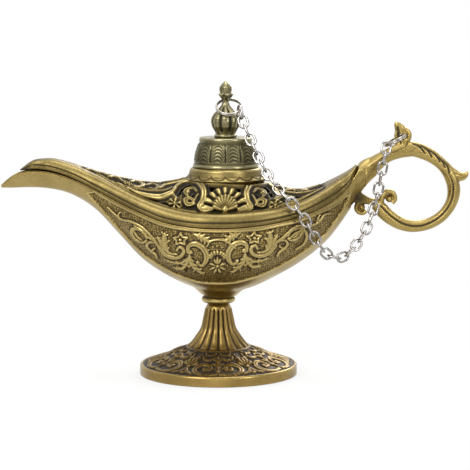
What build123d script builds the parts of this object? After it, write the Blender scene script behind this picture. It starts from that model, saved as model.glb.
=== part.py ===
"""A footed oil lamp of the story-book kind, with an openwork cover, a chained cap and a ring handle.

The frame: +Z up from the table, +X from the spout towards the handle, the origin under the foot's middle.
"""
from math import cos, radians, sin
import os

from build123d import *

os.makedirs("parts", exist_ok=True)

# Bowl and cover: the half spans, the rim where the two castings meet, and the rises and drops from it
front_reach = 101.4
rear_reach = 62.0
half_width = 34.4
rim_height = 72.3
bowl_depth = 33.7
beak_rise = 29.1
hull_wall = 1.8
cover_wall = 1.6
band_wall = 3.4
seam_gap = 0.3
mouth_gap = 0.9
mouth_end = 52.0
mouth_flare_share = 3.0
least_strip = 0.25
band_bulge_share = 0.2
opening_reach = 62.0
opening_floor = 5.0

# The body's stations: along, as a share of front_reach (below 0) or rear_reach; half width, as a share of
# half_width; the rim's rise, as a share of beak_rise; depth below it, as a share of bowl_depth; then, as
# shares of the same, the cover's strip top, band top, half width at the band top and vault crest
BODY_SHARES = (
    (-0.888, 0.151, 0.808, 0.231, 0.840, 0.886, 0.056, 0.886),
    (-0.789, 0.189, 0.808, 0.243, 0.873, 1.000, 0.051, 1.000),
    (-0.671, 0.238, 0.698, 0.237, 0.768, 0.920, 0.078, 0.928),
    (-0.562, 0.337, 0.529, 0.300, 0.605, 0.770, 0.173, 0.806),
    (-0.454, 0.503, 0.351, 0.493, 0.435, 0.601, 0.353, 0.707),
    (-0.355, 0.669, 0.210, 0.690, 0.286, 0.455, 0.528, 0.640),
    (-0.256, 0.814, 0.089, 0.797, 0.168, 0.344, 0.680, 0.625),
    (-0.138, 0.936, 0.021, 0.911, 0.102, 0.258, 0.805, 0.696),
    (0.0, 1.0, 0.0, 1.0, 0.093, 0.231, 0.869, 0.787),
    (0.226, 0.971, 0.021, 0.955, 0.106, 0.255, 0.840, 0.708),
    (0.452, 0.855, 0.079, 0.815, 0.151, 0.306, 0.724, 0.560),
    (0.613, 0.721, 0.155, 0.709, 0.237, 0.385, 0.590, 0.500),
    (0.742, 0.570, 0.244, 0.611, 0.347, 0.498, 0.439, 0.550),
    (0.839, 0.424, 0.340, 0.525, 0.448, 0.609, 0.295, 0.638),
    (0.919, 0.302, 0.450, 0.430, 0.544, 0.716, 0.178, 0.731),
    (1.0, 0.209, 0.643, 0.377, 0.722, 0.833, 0.077, 0.834),
)
SPOUT_LIP_SHARES = ((-1.0, 0.047, 0.584, 0.042), (-0.957, 0.105, 0.711, 0.154))
HULL_SHARES = SPOUT_LIP_SHARES + tuple(row[:4] for row in BODY_SHARES)
BEAK_TIP_SHARES = ((-0.912, 0.040, 0.780, 0, 0.800, 0.830, 0.020, 0.830),)
COVER_TAIL_SHARES = ((1.042, 0.076, 0.814, 0, 0.859, 0.900, 0.023, 0.900),)
COVER_SHARES = BEAK_TIP_SHARES + BODY_SHARES + COVER_TAIL_SHARES
hollow_first = 5
hollow_last = 14
channel_last = 5
channel_wall = 1.7
channel_height = 1.9
hollow_side = 0.4
lip_drop = 2.4
lip_root = 1.2
lip_clearance = 0.3
lip_wall = 1.2
lip_first = 7
lip_last = 12

# Openings through the vault, one quarter of them: along and across as shares of the half spans,
# length and width as shares of half_width, and the turn in degrees
OPENING_SHARES = (
    (0.16, 0.735, 0.20, 0.075, 4.0), (0.38, 0.625, 0.18, 0.075, 12.0), (0.60, 0.44, 0.16, 0.075, 28.0),
    (0.10, 0.615, 0.09, 0.085, 90.0), (0.25, 0.56, 0.16, 0.10, 20.0), (0.46, 0.45, 0.15, 0.10, 48.0),
    (0.55, 0.20, 0.19, 0.10, 80.0), (0.68, 0.27, 0.15, 0.07, 40.0), (0.74, 0.10, 0.17, 0.07, 14.0),
)

# Cap, collar and finial stand on one axis, a little behind the foot's
top_offset = 3.4
collar_foot_radius = 19.2
collar_top_radius = 15.8
collar_foot_height = 92.4
collar_height = 4.9
collar_bore_radius = 13.4
collar_sleeve_radius = 15.6
collar_sleeve_drop = 5.0
collar_skirt_wall = 1.0
collar_waist_share = 0.885
cap_gap = 0.3
cap_lip_radius = 15.3
cap_height = 13.9
cap_wall = 1.5
cap_plug_drop = 3.2
plug_clearance = 0.25
CAP_PROFILE_SHARES = (
    (1.0, 0.0), (1.0, 0.13), (0.96, 0.19), (0.945, 0.42), (0.88, 0.66), (0.78, 0.82), (0.80, 0.85),
    (0.80, 0.97), (0.75, 1.0),
)
finial_base_radius = 5.3
finial_height = 26.2
FINIAL_PROFILE_SHARES = (
    (0.95, 0.0), (1.0, 0.02), (1.0, 0.04), (0.86, 0.06), (1.0, 0.12), (1.17, 0.19), (1.245, 0.28),
    (1.19, 0.35), (1.02, 0.41), (0.70, 0.485), (0.36, 0.565), (0.25, 0.62), (0.27, 0.66), (0.50, 0.72),
    (0.62, 0.763), (0.40, 0.785), (0.46, 0.83), (0.43, 0.89), (0.28, 0.95), (0.0, 1.0),
)
finial_groove_count = 10
finial_groove_low_share = 0.08
finial_groove_share = 0.42
cap_roof_share = 0.5
screw_socket_radius = 1.2
finial_groove_radius = 0.9
finial_bulb_share = 1.245
finial_screw_radius = 1.5
finial_screw_depth = 6.0
screw_head_radius = 2.8
screw_head_height = 2.0
screw_clearance = 0.1

# Pedestal
foot_radius = 37.0
pedestal_height = 33.7
PEDESTAL_PROFILE_SHARES = (
    (1.0, 0.0), (1.0, 0.125), (0.965, 0.15), (0.86, 0.19), (0.73, 0.234), (0.605, 0.305), (0.478, 0.356),
    (0.405, 0.39), (0.385, 0.42), (0.29, 0.53), (0.224, 0.647), (0.20, 0.76), (0.178, 0.87),
    (0.168, 0.93), (0.124, 0.955), (0.124, 1.0),
)
PEDESTAL_HOLLOW_SHARES = (
    (0.905, 0.0), (0.895, 0.085), (0.80, 0.115), (0.66, 0.17), (0.52, 0.235), (0.40, 0.30), (0.30, 0.36),
    (0.215, 0.46), (0.165, 0.56), (0.15, 0.60), (0.0, 0.60),
)
washer_seat_share = 0.60
flute_count = 18
flute_sections = 5
flute_taper_share = 0.7
flute_low_radius = 1.7
flute_high_radius = 0.75
FLUTE_PATH_SHARES = ((0.425, 0.40), (0.315, 0.53), (0.247, 0.647), (0.222, 0.76), (0.198, 0.87), (0.190, 0.90))
pedestal_screw_radius = 2.0
pedestal_screw_engagement = 8.0
pedestal_screw_hole_spare = 2.0
pedestal_screw_head_radius = 3.8
pedestal_screw_head_height = 2.2
washer_radius = 5.2
washer_thickness = 1.0
hull_foot_radius = 7.6
hull_foot_height = 2.9
hull_boss_radius = 5.4
hull_boss_height = 12.0

# Handle: a tapering neck, a ring for the finger, two curls, a leaf tail and a thumb rest with an eye
ring_centre_x = 91.5
ring_centre_z = 87.65
ring_radius = 18.0
ring_half_thickness = 3.0
ring_half_breadth = 3.4
ring_start_angle = 118.0
ring_sweep_angle = 264.0
# Neck sections after the hull's face: place along x and z from the ring's centre as shares of
# ring_radius, half thickness and half breadth as shares of the ring's, and the slope in degrees
NECK_SHARES = (
    (-1.36, 0.30, 1.75, 1.75, 47.0), (-1.12, 0.52, 1.35, 1.40, 42.0), (-0.86, 0.72, 1.10, 1.12, 34.0),
    (-0.60, 0.84, 1.0, 1.0, 30.0),
)
tenon_radius = 1.8
tenon_length = 4.0
tenon_clearance = 0.1
tenon_height = 83.0
seat_lean = 0.6
seat_rise = 3.4
hull_tail_solid = 9.0
neck_step = 0.4
neck_top_clearance = 0.6
inner_curl_x = 79.9
inner_curl_z = 82.5
inner_curl_radius = 2.9
inner_curl_wire = 1.35
inner_ball_radius = 1.8
curl_half_breadth = 2.6
small_scroll_x = 67.6
small_scroll_z = 79.4
small_scroll_radius = 3.7
small_scroll_eye_radius = 1.2
small_scroll_eye_depth = 1.0
scroll_bar_half = 1.1
scroll_bar_end_x = 76.2
scroll_bar_end_z = 79.6
tail_tip_x = 116.9
tail_tip_z = 94.6
tail_root_angle = 46.0
tail_neck = 4.4
tail_neck_rise = 1.2
tail_half_breadth = 1.7
thumb_half_breadth = 1.5
# Thumb rest outline round its eye, as shares of thumb_height
thumb_height = 5.9
THUMB_SHARES = (
    (-0.75, -1.45), (-0.62, -0.80), (-0.51, 0.28), (-0.67, 0.83), (-0.48, 1.0), (0.08, 0.76),
    (0.32, 0.28), (0.44, -0.12), (0.38, -0.52), (0.62, -1.30),
)
eye_x = 86.1
eye_z = 112.2
eye_radius = 2.1
eye_slack = 0.3

# Chain hardware: oval cable links and two split rings of doubled wire
link_wire_radius = 0.55
link_half_length = 3.05
link_half_width = 2.05
split_ring_wire_radius = 0.42
split_ring_pitch_share = 0.9
handle_ring_radius = 5.4
handle_ring_slope = 27.0
handle_ring_yaw = 32.0
finial_ring_radius = 5.85
finial_ring_tilt = 33.0
finial_ring_shift = 1.6
finial_ring_back = 2.0
finial_ring_rise_share = 0.54
hook_angle = 30.0
hook_slack = 0.8
end_link_roll = 25.0
least_play = 0.06
most_play = 0.40
# The chain's way from the handle ring to the finial ring: x as shares of rear_reach, y of half_width,
# z of rim_height
CHAIN_ROUTE_SHARES = (
    (1.244, -0.205, 1.423), (1.212, -0.232, 1.279), (1.189, -0.252, 1.177), (1.154, -0.300, 1.071),
    (1.104, -0.363, 0.963), (1.019, -0.480, 0.860), (0.919, -0.605, 0.797), (0.827, -0.703, 0.810),
    (0.762, -0.773, 0.869), (0.698, -0.820, 0.960), (0.624, -0.843, 1.073), (0.522, -0.808, 1.172),
    (0.420, -0.663, 1.263), (0.340, -0.512, 1.364), (0.271, -0.372, 1.483), (0.208, -0.241, 1.600),
)

overrun = 2.0


def along(share):
    """A place along X from its share of the reach on that side."""
    return share * (front_reach if share < 0 else rear_reach)


def rim(share):
    """A height from its share of the rise over the rim's lowest point."""
    return rim_height + share * beak_rise


def seam_opening(x):
    """The gap over the hull's rim, wider at the pouring mouth."""
    forward = min(max((-x - mouth_end) / (front_reach - mouth_end), 0), 1)
    return seam_gap + (mouth_gap - seam_gap) * min(forward * mouth_flare_share, 1)


STANDING = (Align.CENTER, Align.CENTER, Align.MIN)


def half_oval(width, level, height, start=180):
    """The curve of a half ellipse hung from a level line, or stood on it where start is 0."""
    EllipticalCenterArc((0, level), width, height, start_angle=start, arc_size=180)


# The bowl, with a boss for the pedestal's screw and a solid tail for the handle's tenon
with BuildPart() as hull:
    for share, width, rise, depth in HULL_SHARES:
        level = rim(rise)
        with BuildSketch(Plane.YZ.offset(along(share))):
            with BuildLine():
                Line((-width * half_width, level), (width * half_width, level))
                half_oval(width * half_width, level, depth * bowl_depth)
            make_face()
    loft()
    for share, width, rise, depth in HULL_SHARES[1:]:
        level = rim(rise)
        inner = width * half_width - hull_wall
        if along(share) > rear_reach - hull_tail_solid:
            break
        with BuildSketch(Plane.YZ.offset(along(share))):
            with BuildLine():
                side_foot, side_top = level - hollow_side, level + overrun
                half_oval(inner, side_foot, depth * bowl_depth - hull_wall - hollow_side)
                Polyline((-inner, side_foot), (-inner, side_top), (inner, side_top), (inner, side_foot))
            make_face()
    loft(mode=Mode.SUBTRACT)
    with Locations((0, 0, pedestal_height)):
        Cylinder(hull_foot_radius, hull_foot_height + hull_wall, align=STANDING)
        Cylinder(hull_boss_radius, hull_boss_height, align=STANDING)
        Cylinder(pedestal_screw_radius, pedestal_screw_engagement + pedestal_screw_hole_spare,
                 align=STANDING, mode=Mode.SUBTRACT)
    with Locations(Location((rear_reach, 0, tenon_height), (0, -90, 0))):
        Cylinder(tenon_radius + tenon_clearance, tenon_length + tenon_clearance,
                 align=STANDING, mode=Mode.SUBTRACT)
hull.part.label = "hull"
export_step(hull.part, "parts/hull.step")


# The handle: the neck leaves the bowl's rear face, and the ring ends in a curl
with BuildPart() as handle:
    _, tail_width, tail_rise, tail_depth = HULL_SHARES[-1]
    root_half = tail_width * half_width - neck_step
    with BuildSketch(Plane.YZ.offset(rear_reach)):
        with BuildLine():
            half_oval(root_half, rim(tail_rise) - neck_step, tail_depth * bowl_depth - neck_step * 2)
            half_oval(root_half, rim(tail_rise) - neck_step, neck_step, start=0)
        make_face()
    for ahead, up, thick, broad, slope in NECK_SHARES:
        centre = (ring_centre_x + ahead * ring_radius, 0, ring_centre_z + up * ring_radius)
        way = (cos(radians(slope)), 0, sin(radians(slope)))
        with BuildSketch(Plane(origin=centre, x_dir=(0, 1, 0), z_dir=way)):
            with BuildLine():
                half_oval(broad * ring_half_breadth, 0, thick * ring_half_thickness)
                half_oval(broad * ring_half_breadth, 0, thick * ring_half_thickness, start=0)
            make_face()
    loft()
    ring_axis = Axis((ring_centre_x, 0, ring_centre_z), (0, 1, 0))
    start_way = (cos(radians(ring_start_angle)), 0, sin(radians(ring_start_angle)))
    start_plane = Plane(
        origin=(ring_centre_x + ring_radius * start_way[0], 0, ring_centre_z + ring_radius * start_way[2]),
        x_dir=(0, 1, 0), z_dir=(start_way[2], 0, -start_way[0]),
    )
    with BuildSketch(start_plane):
        Ellipse(ring_half_breadth, ring_half_thickness)
    revolve(axis=ring_axis, revolution_arc=ring_sweep_angle)
    with BuildSketch(Plane.XZ) as curls:
        with Locations((inner_curl_x, inner_curl_z)):
            Circle(inner_curl_radius + inner_curl_wire)
            Circle(inner_curl_radius - inner_curl_wire, mode=Mode.SUBTRACT)
            Circle(inner_ball_radius)
        with BuildLine():
            Polyline(
                (inner_curl_x - inner_curl_radius, inner_curl_z - inner_curl_radius),
                (inner_curl_x, inner_curl_z - inner_curl_radius),
                (inner_curl_x, inner_curl_z),
                (inner_curl_x - inner_curl_radius, inner_curl_z),
                close=True,
            )
        make_face()
        with Locations((small_scroll_x, small_scroll_z)):
            Circle(small_scroll_radius)
        with BuildLine():
            Polyline(
                (small_scroll_x, small_scroll_z - scroll_bar_half),
                (scroll_bar_end_x, scroll_bar_end_z - scroll_bar_half),
                (scroll_bar_end_x, scroll_bar_end_z + scroll_bar_half),
                (small_scroll_x, small_scroll_z + scroll_bar_half),
                close=True,
            )
        make_face()
    extrude(amount=curl_half_breadth, both=True)
    for side in (-1, 1):
        with Locations(Location((small_scroll_x, side * curl_half_breadth, small_scroll_z), (90, 0, 0))):
            Cylinder(small_scroll_eye_radius, small_scroll_eye_depth * 2, mode=Mode.SUBTRACT)
    with BuildSketch(Plane.XZ) as leaf_tail:
        with BuildLine():
            Polyline(
                (ring_centre_x + ring_radius * cos(radians(tail_root_angle)),
                 ring_centre_z + ring_radius * sin(radians(tail_root_angle))),
                (tail_tip_x - tail_neck, tail_tip_z + tail_neck_rise),
                (tail_tip_x, tail_tip_z),
                (tail_tip_x - tail_neck_rise, tail_tip_z - tail_neck),
                (ring_centre_x + ring_radius, ring_centre_z),
                close=True,
            )
        make_face()
    extrude(amount=tail_half_breadth, both=True)
    with BuildSketch(Plane.XZ) as thumb_rest:
        with BuildLine():
            Polyline(
                *((eye_x + ahead * thumb_height, eye_z + up * thumb_height) for ahead, up in THUMB_SHARES),
                close=True,
            )
        make_face()
    extrude(amount=thumb_half_breadth, both=True)
    with Locations(Location((eye_x, 0, eye_z), (90, 0, 0))):
        Cylinder(eye_radius, thumb_half_breadth * 3, mode=Mode.SUBTRACT)
    cover_tail = [(along(row[0]) + neck_top_clearance, rim(row[2])) for row in COVER_SHARES[-2:]]
    (low_x, low_z), (high_x, high_z) = cover_tail
    with BuildSketch(Plane.XZ) as cover_seat:
        with BuildLine():
            Polyline(
                (rear_reach - overrun, low_z - neck_top_clearance), (low_x, low_z - neck_top_clearance),
                (high_x, high_z), (high_x + seat_lean, high_z + seat_rise),
                (high_x + seat_lean, high_z + seat_rise + overrun),
                (rear_reach - overrun, high_z + seat_rise + overrun),
                close=True,
            )
        make_face()
    extrude(amount=half_width, both=True, mode=Mode.SUBTRACT)
    with Locations((rear_reach, 0, tenon_height)):
        Box(ring_radius, half_width, bowl_depth, align=(Align.MAX, Align.CENTER, Align.CENTER), mode=Mode.SUBTRACT)
    with Locations(Location((rear_reach + tenon_length, 0, tenon_height), (0, -90, 0))):
        Cylinder(tenon_radius, tenon_length * 2, align=STANDING)
handle.part.label = "handle"
export_step(handle.part, "parts/handle.step")


# The cover: a flat strip on the rim, a rounded band over it, and the openwork vault
with BuildPart() as cover:
    for share, width, rise, _, strip, band, top, crest in COVER_SHARES:
        low, middle, high = rim(rise), rim(strip), rim(band)
        outer, inner = width * half_width, top * half_width
        low = low + seam_opening(along(share))
        middle = max(middle, low + least_strip)
        high = max(high, middle + least_strip)
        lean = ((outer + inner) / 2 + (high - middle) * band_bulge_share,
                (middle + high) / 2 + (outer - inner) * band_bulge_share)
        with BuildSketch(Plane.YZ.offset(along(share))):
            with BuildLine():
                Line((-outer, low), (outer, low))
                Line((outer, low), (outer, middle))
                ThreePointArc((outer, middle), lean, (inner, high))
                half_oval(inner, high, max(rim(crest) - high, least_strip), start=0)
                ThreePointArc((-inner, high), (-lean[0], lean[1]), (-outer, middle))
                Line((-outer, middle), (-outer, low))
            make_face()
    loft()
    for share, width, rise, _, strip, band, top, crest in COVER_SHARES[hollow_first:hollow_last + 1]:
        low, middle, high = rim(rise), rim(strip), rim(band) - cover_wall
        wide, narrow = width * half_width - band_wall, top * half_width - cover_wall
        with BuildSketch(Plane.YZ.offset(along(share))):
            with BuildLine():
                half_oval(narrow, high, rim(crest) - rim(band), start=0)
                Polyline((-narrow, high), (-wide, middle), (-wide, low - overrun), (wide, low - overrun),
                         (wide, middle), (narrow, high))
            make_face()
    loft(mode=Mode.SUBTRACT)
    for share, width, rise, _, strip, band, top, crest in COVER_SHARES[1:channel_last + 1]:
        low, wide = rim(rise) + seam_opening(along(share)), width * half_width - channel_wall
        with BuildSketch(Plane.YZ.offset(along(share))):
            with BuildLine():
                side_top = low + hollow_side
                half_oval(wide, side_top, channel_height - hollow_side, start=0)
                Polyline((-wide, side_top), (-wide, low - overrun), (wide, low - overrun), (wide, side_top))
            make_face()
    loft(mode=Mode.SUBTRACT)
    for side in (-1, 1):
        for share, width, rise, depth in HULL_SHARES[lip_first:lip_last + 1]:
            lip_outer = width * half_width - hull_wall - lip_clearance
            with BuildSketch(Plane.YZ.offset(along(share))):
                with Locations((side * (lip_outer - lip_wall / 2), rim(rise) - lip_drop)):
                    Rectangle(lip_wall, lip_drop + lip_root, align=(Align.CENTER, Align.MIN))
        loft()
    with Locations((top_offset, 0, rim_height)):
        Cylinder(collar_sleeve_radius, beak_rise, align=STANDING, mode=Mode.SUBTRACT)
    for ahead, across, length, breadth, turn in OPENING_SHARES:
        for front in (-1, 1):
            for side in (-1, 1):
                spot = (top_offset + front * ahead * opening_reach, side * across * half_width)
                with BuildSketch(Plane.XY.offset(rim_height + opening_floor)):
                    with Locations(Location((*spot, 0), (0, 0, -front * side * turn))):
                        SlotOverall(length * half_width, breadth * half_width)
    extrude(amount=beak_rise, mode=Mode.SUBTRACT)
cover.part.label = "cover"
export_step(cover.part, "parts/cover.step")


# The collar stands in the vault's mouth and guides the cap's plug
with BuildPart() as cover_collar:
    with BuildSketch(Plane.XZ) as collar_section:
        with BuildLine():
            foot, head = collar_foot_height, collar_foot_height + collar_height
            Polyline(
                (collar_bore_radius, foot - collar_sleeve_drop),
                (collar_sleeve_radius, foot - collar_sleeve_drop),
                (collar_sleeve_radius, foot + collar_skirt_wall),
                (collar_foot_radius - collar_skirt_wall, foot),
                (collar_foot_radius, foot),
            )
            Spline((collar_foot_radius, foot),
                   (collar_waist_share * collar_foot_radius, foot + collar_height / 2),
                   (collar_top_radius, head))
            Polyline((collar_top_radius, head), (collar_bore_radius, head),
                     (collar_bore_radius, foot - collar_sleeve_drop))
        make_face()
    revolve(axis=Axis.Z)
cover_collar.part.label = "cover_collar"
cover_collar.part.position = (top_offset, 0, 0)
export_step(cover_collar.part, "parts/cover_collar.step")


# The cap: a hollow drum that rests on the collar, with a plug inside the collar's bore
cap_foot = collar_foot_height + collar_height + cap_gap
cap_top = cap_foot + cap_height
plug_radius = collar_bore_radius - plug_clearance
with BuildPart() as cap:
    with BuildSketch(Plane.XZ) as cap_section:
        with BuildLine():
            Polyline(
                *((out * cap_lip_radius, cap_foot + up * cap_height) for out, up in CAP_PROFILE_SHARES),
                (finial_screw_radius + screw_clearance, cap_top),
                (finial_screw_radius + screw_clearance, cap_top - cap_wall),
                (cap_roof_share * cap_lip_radius, cap_top - cap_wall),
                (plug_radius - cap_wall, cap_foot + cap_height / 2),
                (plug_radius - cap_wall, cap_foot - cap_plug_drop),
                (plug_radius, cap_foot - cap_plug_drop),
                (plug_radius, cap_foot),
                close=True,
            )
        make_face()
    revolve(axis=Axis.Z)
cap.part.label = "cap"
cap.part.position = (top_offset, 0, 0)
export_step(cap.part, "parts/cap.step")


# The finial: a ribbed bulb, a thin neck and a leaf bud
with BuildPart() as finial:
    with BuildSketch(Plane.XZ) as finial_section:
        with BuildLine():
            Polyline(
                (0, cap_top),
                *((out * finial_base_radius, cap_top + up * finial_height) for out, up in FINIAL_PROFILE_SHARES),
                close=True,
            )
        make_face()
    revolve(axis=Axis.Z)
    with Locations((0, 0, cap_top + finial_height * finial_groove_low_share)):
        with PolarLocations(finial_bulb_share * finial_base_radius + finial_groove_radius / 2,
                            finial_groove_count):
            Cylinder(finial_groove_radius, finial_height * finial_groove_share, align=STANDING,
                     mode=Mode.SUBTRACT)
    with Locations((0, 0, cap_top)):
        Cylinder(finial_screw_radius, finial_screw_depth + screw_clearance, align=STANDING,
                 mode=Mode.SUBTRACT)
finial.part.label = "finial"
finial.part.position = (top_offset, 0, 0)
export_step(finial.part, "parts/finial.step")

with BuildPart() as finial_screw:
    with Locations((0, 0, cap_top - cap_wall - screw_head_height)):
        Cylinder(screw_head_radius, screw_head_height, align=STANDING)
        Cylinder(finial_screw_radius, screw_head_height + cap_wall + finial_screw_depth, align=STANDING)
        Cylinder(screw_socket_radius, screw_head_height / 2, align=STANDING, mode=Mode.SUBTRACT)
finial_screw.part.label = "finial_screw"
finial_screw.part.position = (top_offset, 0, 0)
export_step(finial_screw.part, "parts/finial_screw.step")


# The pedestal: a turned foot with a fluted stem, cast hollow underneath
with BuildPart() as flute:
    flute_points = [(out * foot_radius, 0, up * pedestal_height) for out, up in FLUTE_PATH_SHARES]
    with BuildLine():
        flute_path = Spline(*flute_points)
    for step in range(flute_sections):
        share = step / (flute_sections - 1)
        spot = flute_path @ share
        narrowing = flute_low_radius + (flute_high_radius - flute_low_radius) * share ** flute_taper_share
        with BuildSketch(Plane(origin=spot, x_dir=(0, 1, 0), z_dir=flute_path % share)):
            Circle(narrowing)
    loft()

with BuildPart() as pedestal:
    with BuildSketch(Plane.XZ) as pedestal_section:
        with BuildLine():
            Polyline(
                *((out * foot_radius, up * pedestal_height) for out, up in PEDESTAL_PROFILE_SHARES),
                (pedestal_screw_radius + screw_clearance, pedestal_height),
                (pedestal_screw_radius + screw_clearance, washer_seat_share * pedestal_height),
                *((out * foot_radius, up * pedestal_height) for out, up in reversed(PEDESTAL_HOLLOW_SHARES)),
                close=True,
            )
        make_face()
    revolve(axis=Axis.Z)
    with PolarLocations(0, flute_count):
        add(flute.part, mode=Mode.SUBTRACT)
pedestal.part.label = "pedestal"
export_step(pedestal.part, "parts/pedestal.step")

washer_top = washer_seat_share * pedestal_height
with BuildPart() as pedestal_washer:
    with Locations((0, 0, washer_top - washer_thickness)):
        Cylinder(washer_radius, washer_thickness, align=STANDING)
        Cylinder(pedestal_screw_radius + screw_clearance, washer_thickness, align=STANDING,
                 mode=Mode.SUBTRACT)
pedestal_washer.part.label = "pedestal_washer"
export_step(pedestal_washer.part, "parts/pedestal_washer.step")

with BuildPart() as pedestal_screw:
    with Locations((0, 0, washer_top - washer_thickness - pedestal_screw_head_height)):
        Cylinder(pedestal_screw_head_radius, pedestal_screw_head_height, align=STANDING)
        Cylinder(screw_socket_radius, pedestal_screw_head_height / 2, align=STANDING, mode=Mode.SUBTRACT)
    with Locations((0, 0, washer_top - washer_thickness)):
        Cylinder(pedestal_screw_radius, pedestal_height - washer_top + washer_thickness
                 + pedestal_screw_engagement, align=STANDING)
pedestal_screw.part.label = "pedestal_screw"
export_step(pedestal_screw.part, "parts/pedestal_screw.step")


# The two split rings: doubled wire, one through the eye and one round the finial's neck
def split_ring(name, centre, ring_x, ring_y, radius):
    """A ring of doubled wire in the plane of two directions."""
    stack = split_ring_wire_radius * split_ring_pitch_share
    ring_plane = Plane(origin=centre, x_dir=ring_x, z_dir=Vector(*ring_x).cross(Vector(*ring_y)))
    with BuildPart() as ring:
        with BuildSketch(Plane.XZ):
            with Locations((radius, -stack), (radius, stack)):
                Circle(split_ring_wire_radius)
        revolve(axis=Axis.Z)
    ring.part.locate(ring_plane.location)
    ring.part.label = name
    export_step(ring.part, f"parts/{name}.step")
    return ring.part


slope, yaw = radians(handle_ring_slope), radians(handle_ring_yaw)
ring_away = (-cos(slope) * cos(yaw), -sin(yaw), -sin(slope) * cos(yaw))
ring_across = (-cos(slope) * sin(yaw), cos(yaw), -sin(slope) * sin(yaw))
ring_middle = Vector(eye_x, 0, eye_z) + Vector(*ring_away) * (handle_ring_radius - eye_slack)
handle_ring = split_ring("handle_ring", ring_middle, ring_away, ring_across, handle_ring_radius)
chain_start = ring_middle + Vector(*ring_away) * handle_ring_radius

tilt = radians(finial_ring_tilt)
ring_down = (0, -cos(tilt), -sin(tilt))
ring_middle = Vector(top_offset + finial_ring_shift, -finial_ring_back,
                     cap_top + finial_height * finial_ring_rise_share)
finial_ring = split_ring("finial_ring", ring_middle, (1, 0, 0), ring_down, finial_ring_radius)
hook = radians(hook_angle)
chain_end = (ring_middle + Vector(1, 0, 0) * (finial_ring_radius * cos(hook))
             + Vector(*ring_down) * (finial_ring_radius * sin(hook)))
end_tangent = Vector(1, 0, 0) * sin(hook) - Vector(*ring_down) * cos(hook)


# The chain: its pivots lie on the route, at the wire centres of every second link
route_points = [chain_start] + [
    Vector(ahead * rear_reach, across * half_width, up * rim_height) for ahead, across, up in CHAIN_ROUTE_SHARES
] + [chain_end]
route = Spline(*route_points)
route_steps = 2000
play_halvings = 30
trail = [route @ (step / route_steps) for step in range(route_steps + 1)]
hold = link_half_length - link_wire_radius - split_ring_wire_radius * (1 + split_ring_pitch_share)
hole = link_half_length - link_wire_radius * 2


def pivot_spans(count, play):
    """The distances from pivot to pivot for a count of links with the same play in each."""
    spans = [hold + hole - play * 2]
    for number in range(2, count):
        spans.append(link_half_length * 2 if number % 2 == 0 else (hole - play) * 2)
    return spans + [link_half_length + hold - play - hook_slack]


def walk(spans):
    """The pivots on the route, and how far along it the last one lies."""
    spots, step = [trail[0]], 0
    for span in spans:
        while step < route_steps and (trail[step] - spots[-1]).length < span:
            step += 1
        near, far = (trail[step - 1] - spots[-1]).length, (trail[step] - spots[-1]).length
        spots.append(trail[step - 1] + (trail[step] - trail[step - 1]) * ((span - near) / (far - near)))
    return spots, step


link_count = 2
while walk(pivot_spans(link_count, most_play))[1] < route_steps:
    link_count += 2
link_count -= 2
low_play, high_play = least_play, most_play * 2
for _ in range(play_halvings):
    link_play = (low_play + high_play) / 2
    pivots, reached = walk(pivot_spans(link_count, link_play))
    if reached < route_steps:
        high_play = link_play
    else:
        low_play = link_play

with BuildPart() as link:
    straight = link_half_length - link_half_width
    with BuildLine():
        Line((-straight, link_half_width), (straight, link_half_width))
        CenterArc((straight, 0), link_half_width, 90, -180)
        Line((straight, -link_half_width), (-straight, -link_half_width))
        CenterArc((-straight, 0), link_half_width, 270, -180)
    with BuildSketch(Plane(origin=(0, link_half_width, 0), z_dir=(1, 0, 0))):
        Circle(link_wire_radius)
    sweep()

upright = Vector(0, 1, 0)
for number in range(1, link_count + 1):
    near, far = pivots[number - 1], pivots[number]
    way = (far - near).normalized()
    if number == 1:
        middle = near + way * (hold - link_play)
    elif number == link_count:
        middle = near + way * link_half_length
    else:
        middle = (near + far) / 2
    normal = upright.cross(way) if number % 2 == 0 else upright - way * upright.dot(way)
    if number == link_count:
        normal = normal.rotate(Axis((0, 0, 0), way), end_link_roll)
    piece = Plane(origin=middle, x_dir=way, z_dir=normal).location * link.part
    piece.label = f"link_{number:02d}"
    export_step(piece, f"parts/link_{number:02d}.step")
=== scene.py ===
"""Looks of the footed oil lamp: cast and antiqued brass with carved relief, openwork and a steel chain."""
from math import cos, pi, radians, sin

import bpy
import numpy as np
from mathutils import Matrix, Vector

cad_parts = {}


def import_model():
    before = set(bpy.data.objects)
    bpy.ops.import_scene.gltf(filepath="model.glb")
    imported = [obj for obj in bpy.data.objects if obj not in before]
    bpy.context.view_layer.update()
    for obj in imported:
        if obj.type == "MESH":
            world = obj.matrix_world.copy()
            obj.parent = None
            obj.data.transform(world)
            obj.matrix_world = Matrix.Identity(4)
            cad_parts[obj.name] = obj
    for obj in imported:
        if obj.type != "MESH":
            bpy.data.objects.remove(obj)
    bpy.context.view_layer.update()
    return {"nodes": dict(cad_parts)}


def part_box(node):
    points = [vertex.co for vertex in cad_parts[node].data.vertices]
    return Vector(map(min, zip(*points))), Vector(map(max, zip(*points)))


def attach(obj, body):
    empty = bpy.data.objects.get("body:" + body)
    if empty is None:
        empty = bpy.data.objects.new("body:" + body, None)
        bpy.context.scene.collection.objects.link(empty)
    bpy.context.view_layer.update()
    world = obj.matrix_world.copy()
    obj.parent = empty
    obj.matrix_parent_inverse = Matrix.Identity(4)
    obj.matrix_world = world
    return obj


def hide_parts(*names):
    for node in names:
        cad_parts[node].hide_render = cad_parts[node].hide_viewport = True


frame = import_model()

MM = 0.001
GRID = 0.34

# Camera in millimetres, and the photograph's frame in pixels
IMAGE = 470
FOCAL_PX = 2062.5
EYE = np.array((7.8, -960.0, 184.0))
TARGET = np.array((7.8, 0.0, 65.5))
SENSOR = 36.0


def box_mm(node):
    """A node's lowest and highest corners in millimetres."""
    return [np.array(corner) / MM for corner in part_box(node)]


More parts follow.
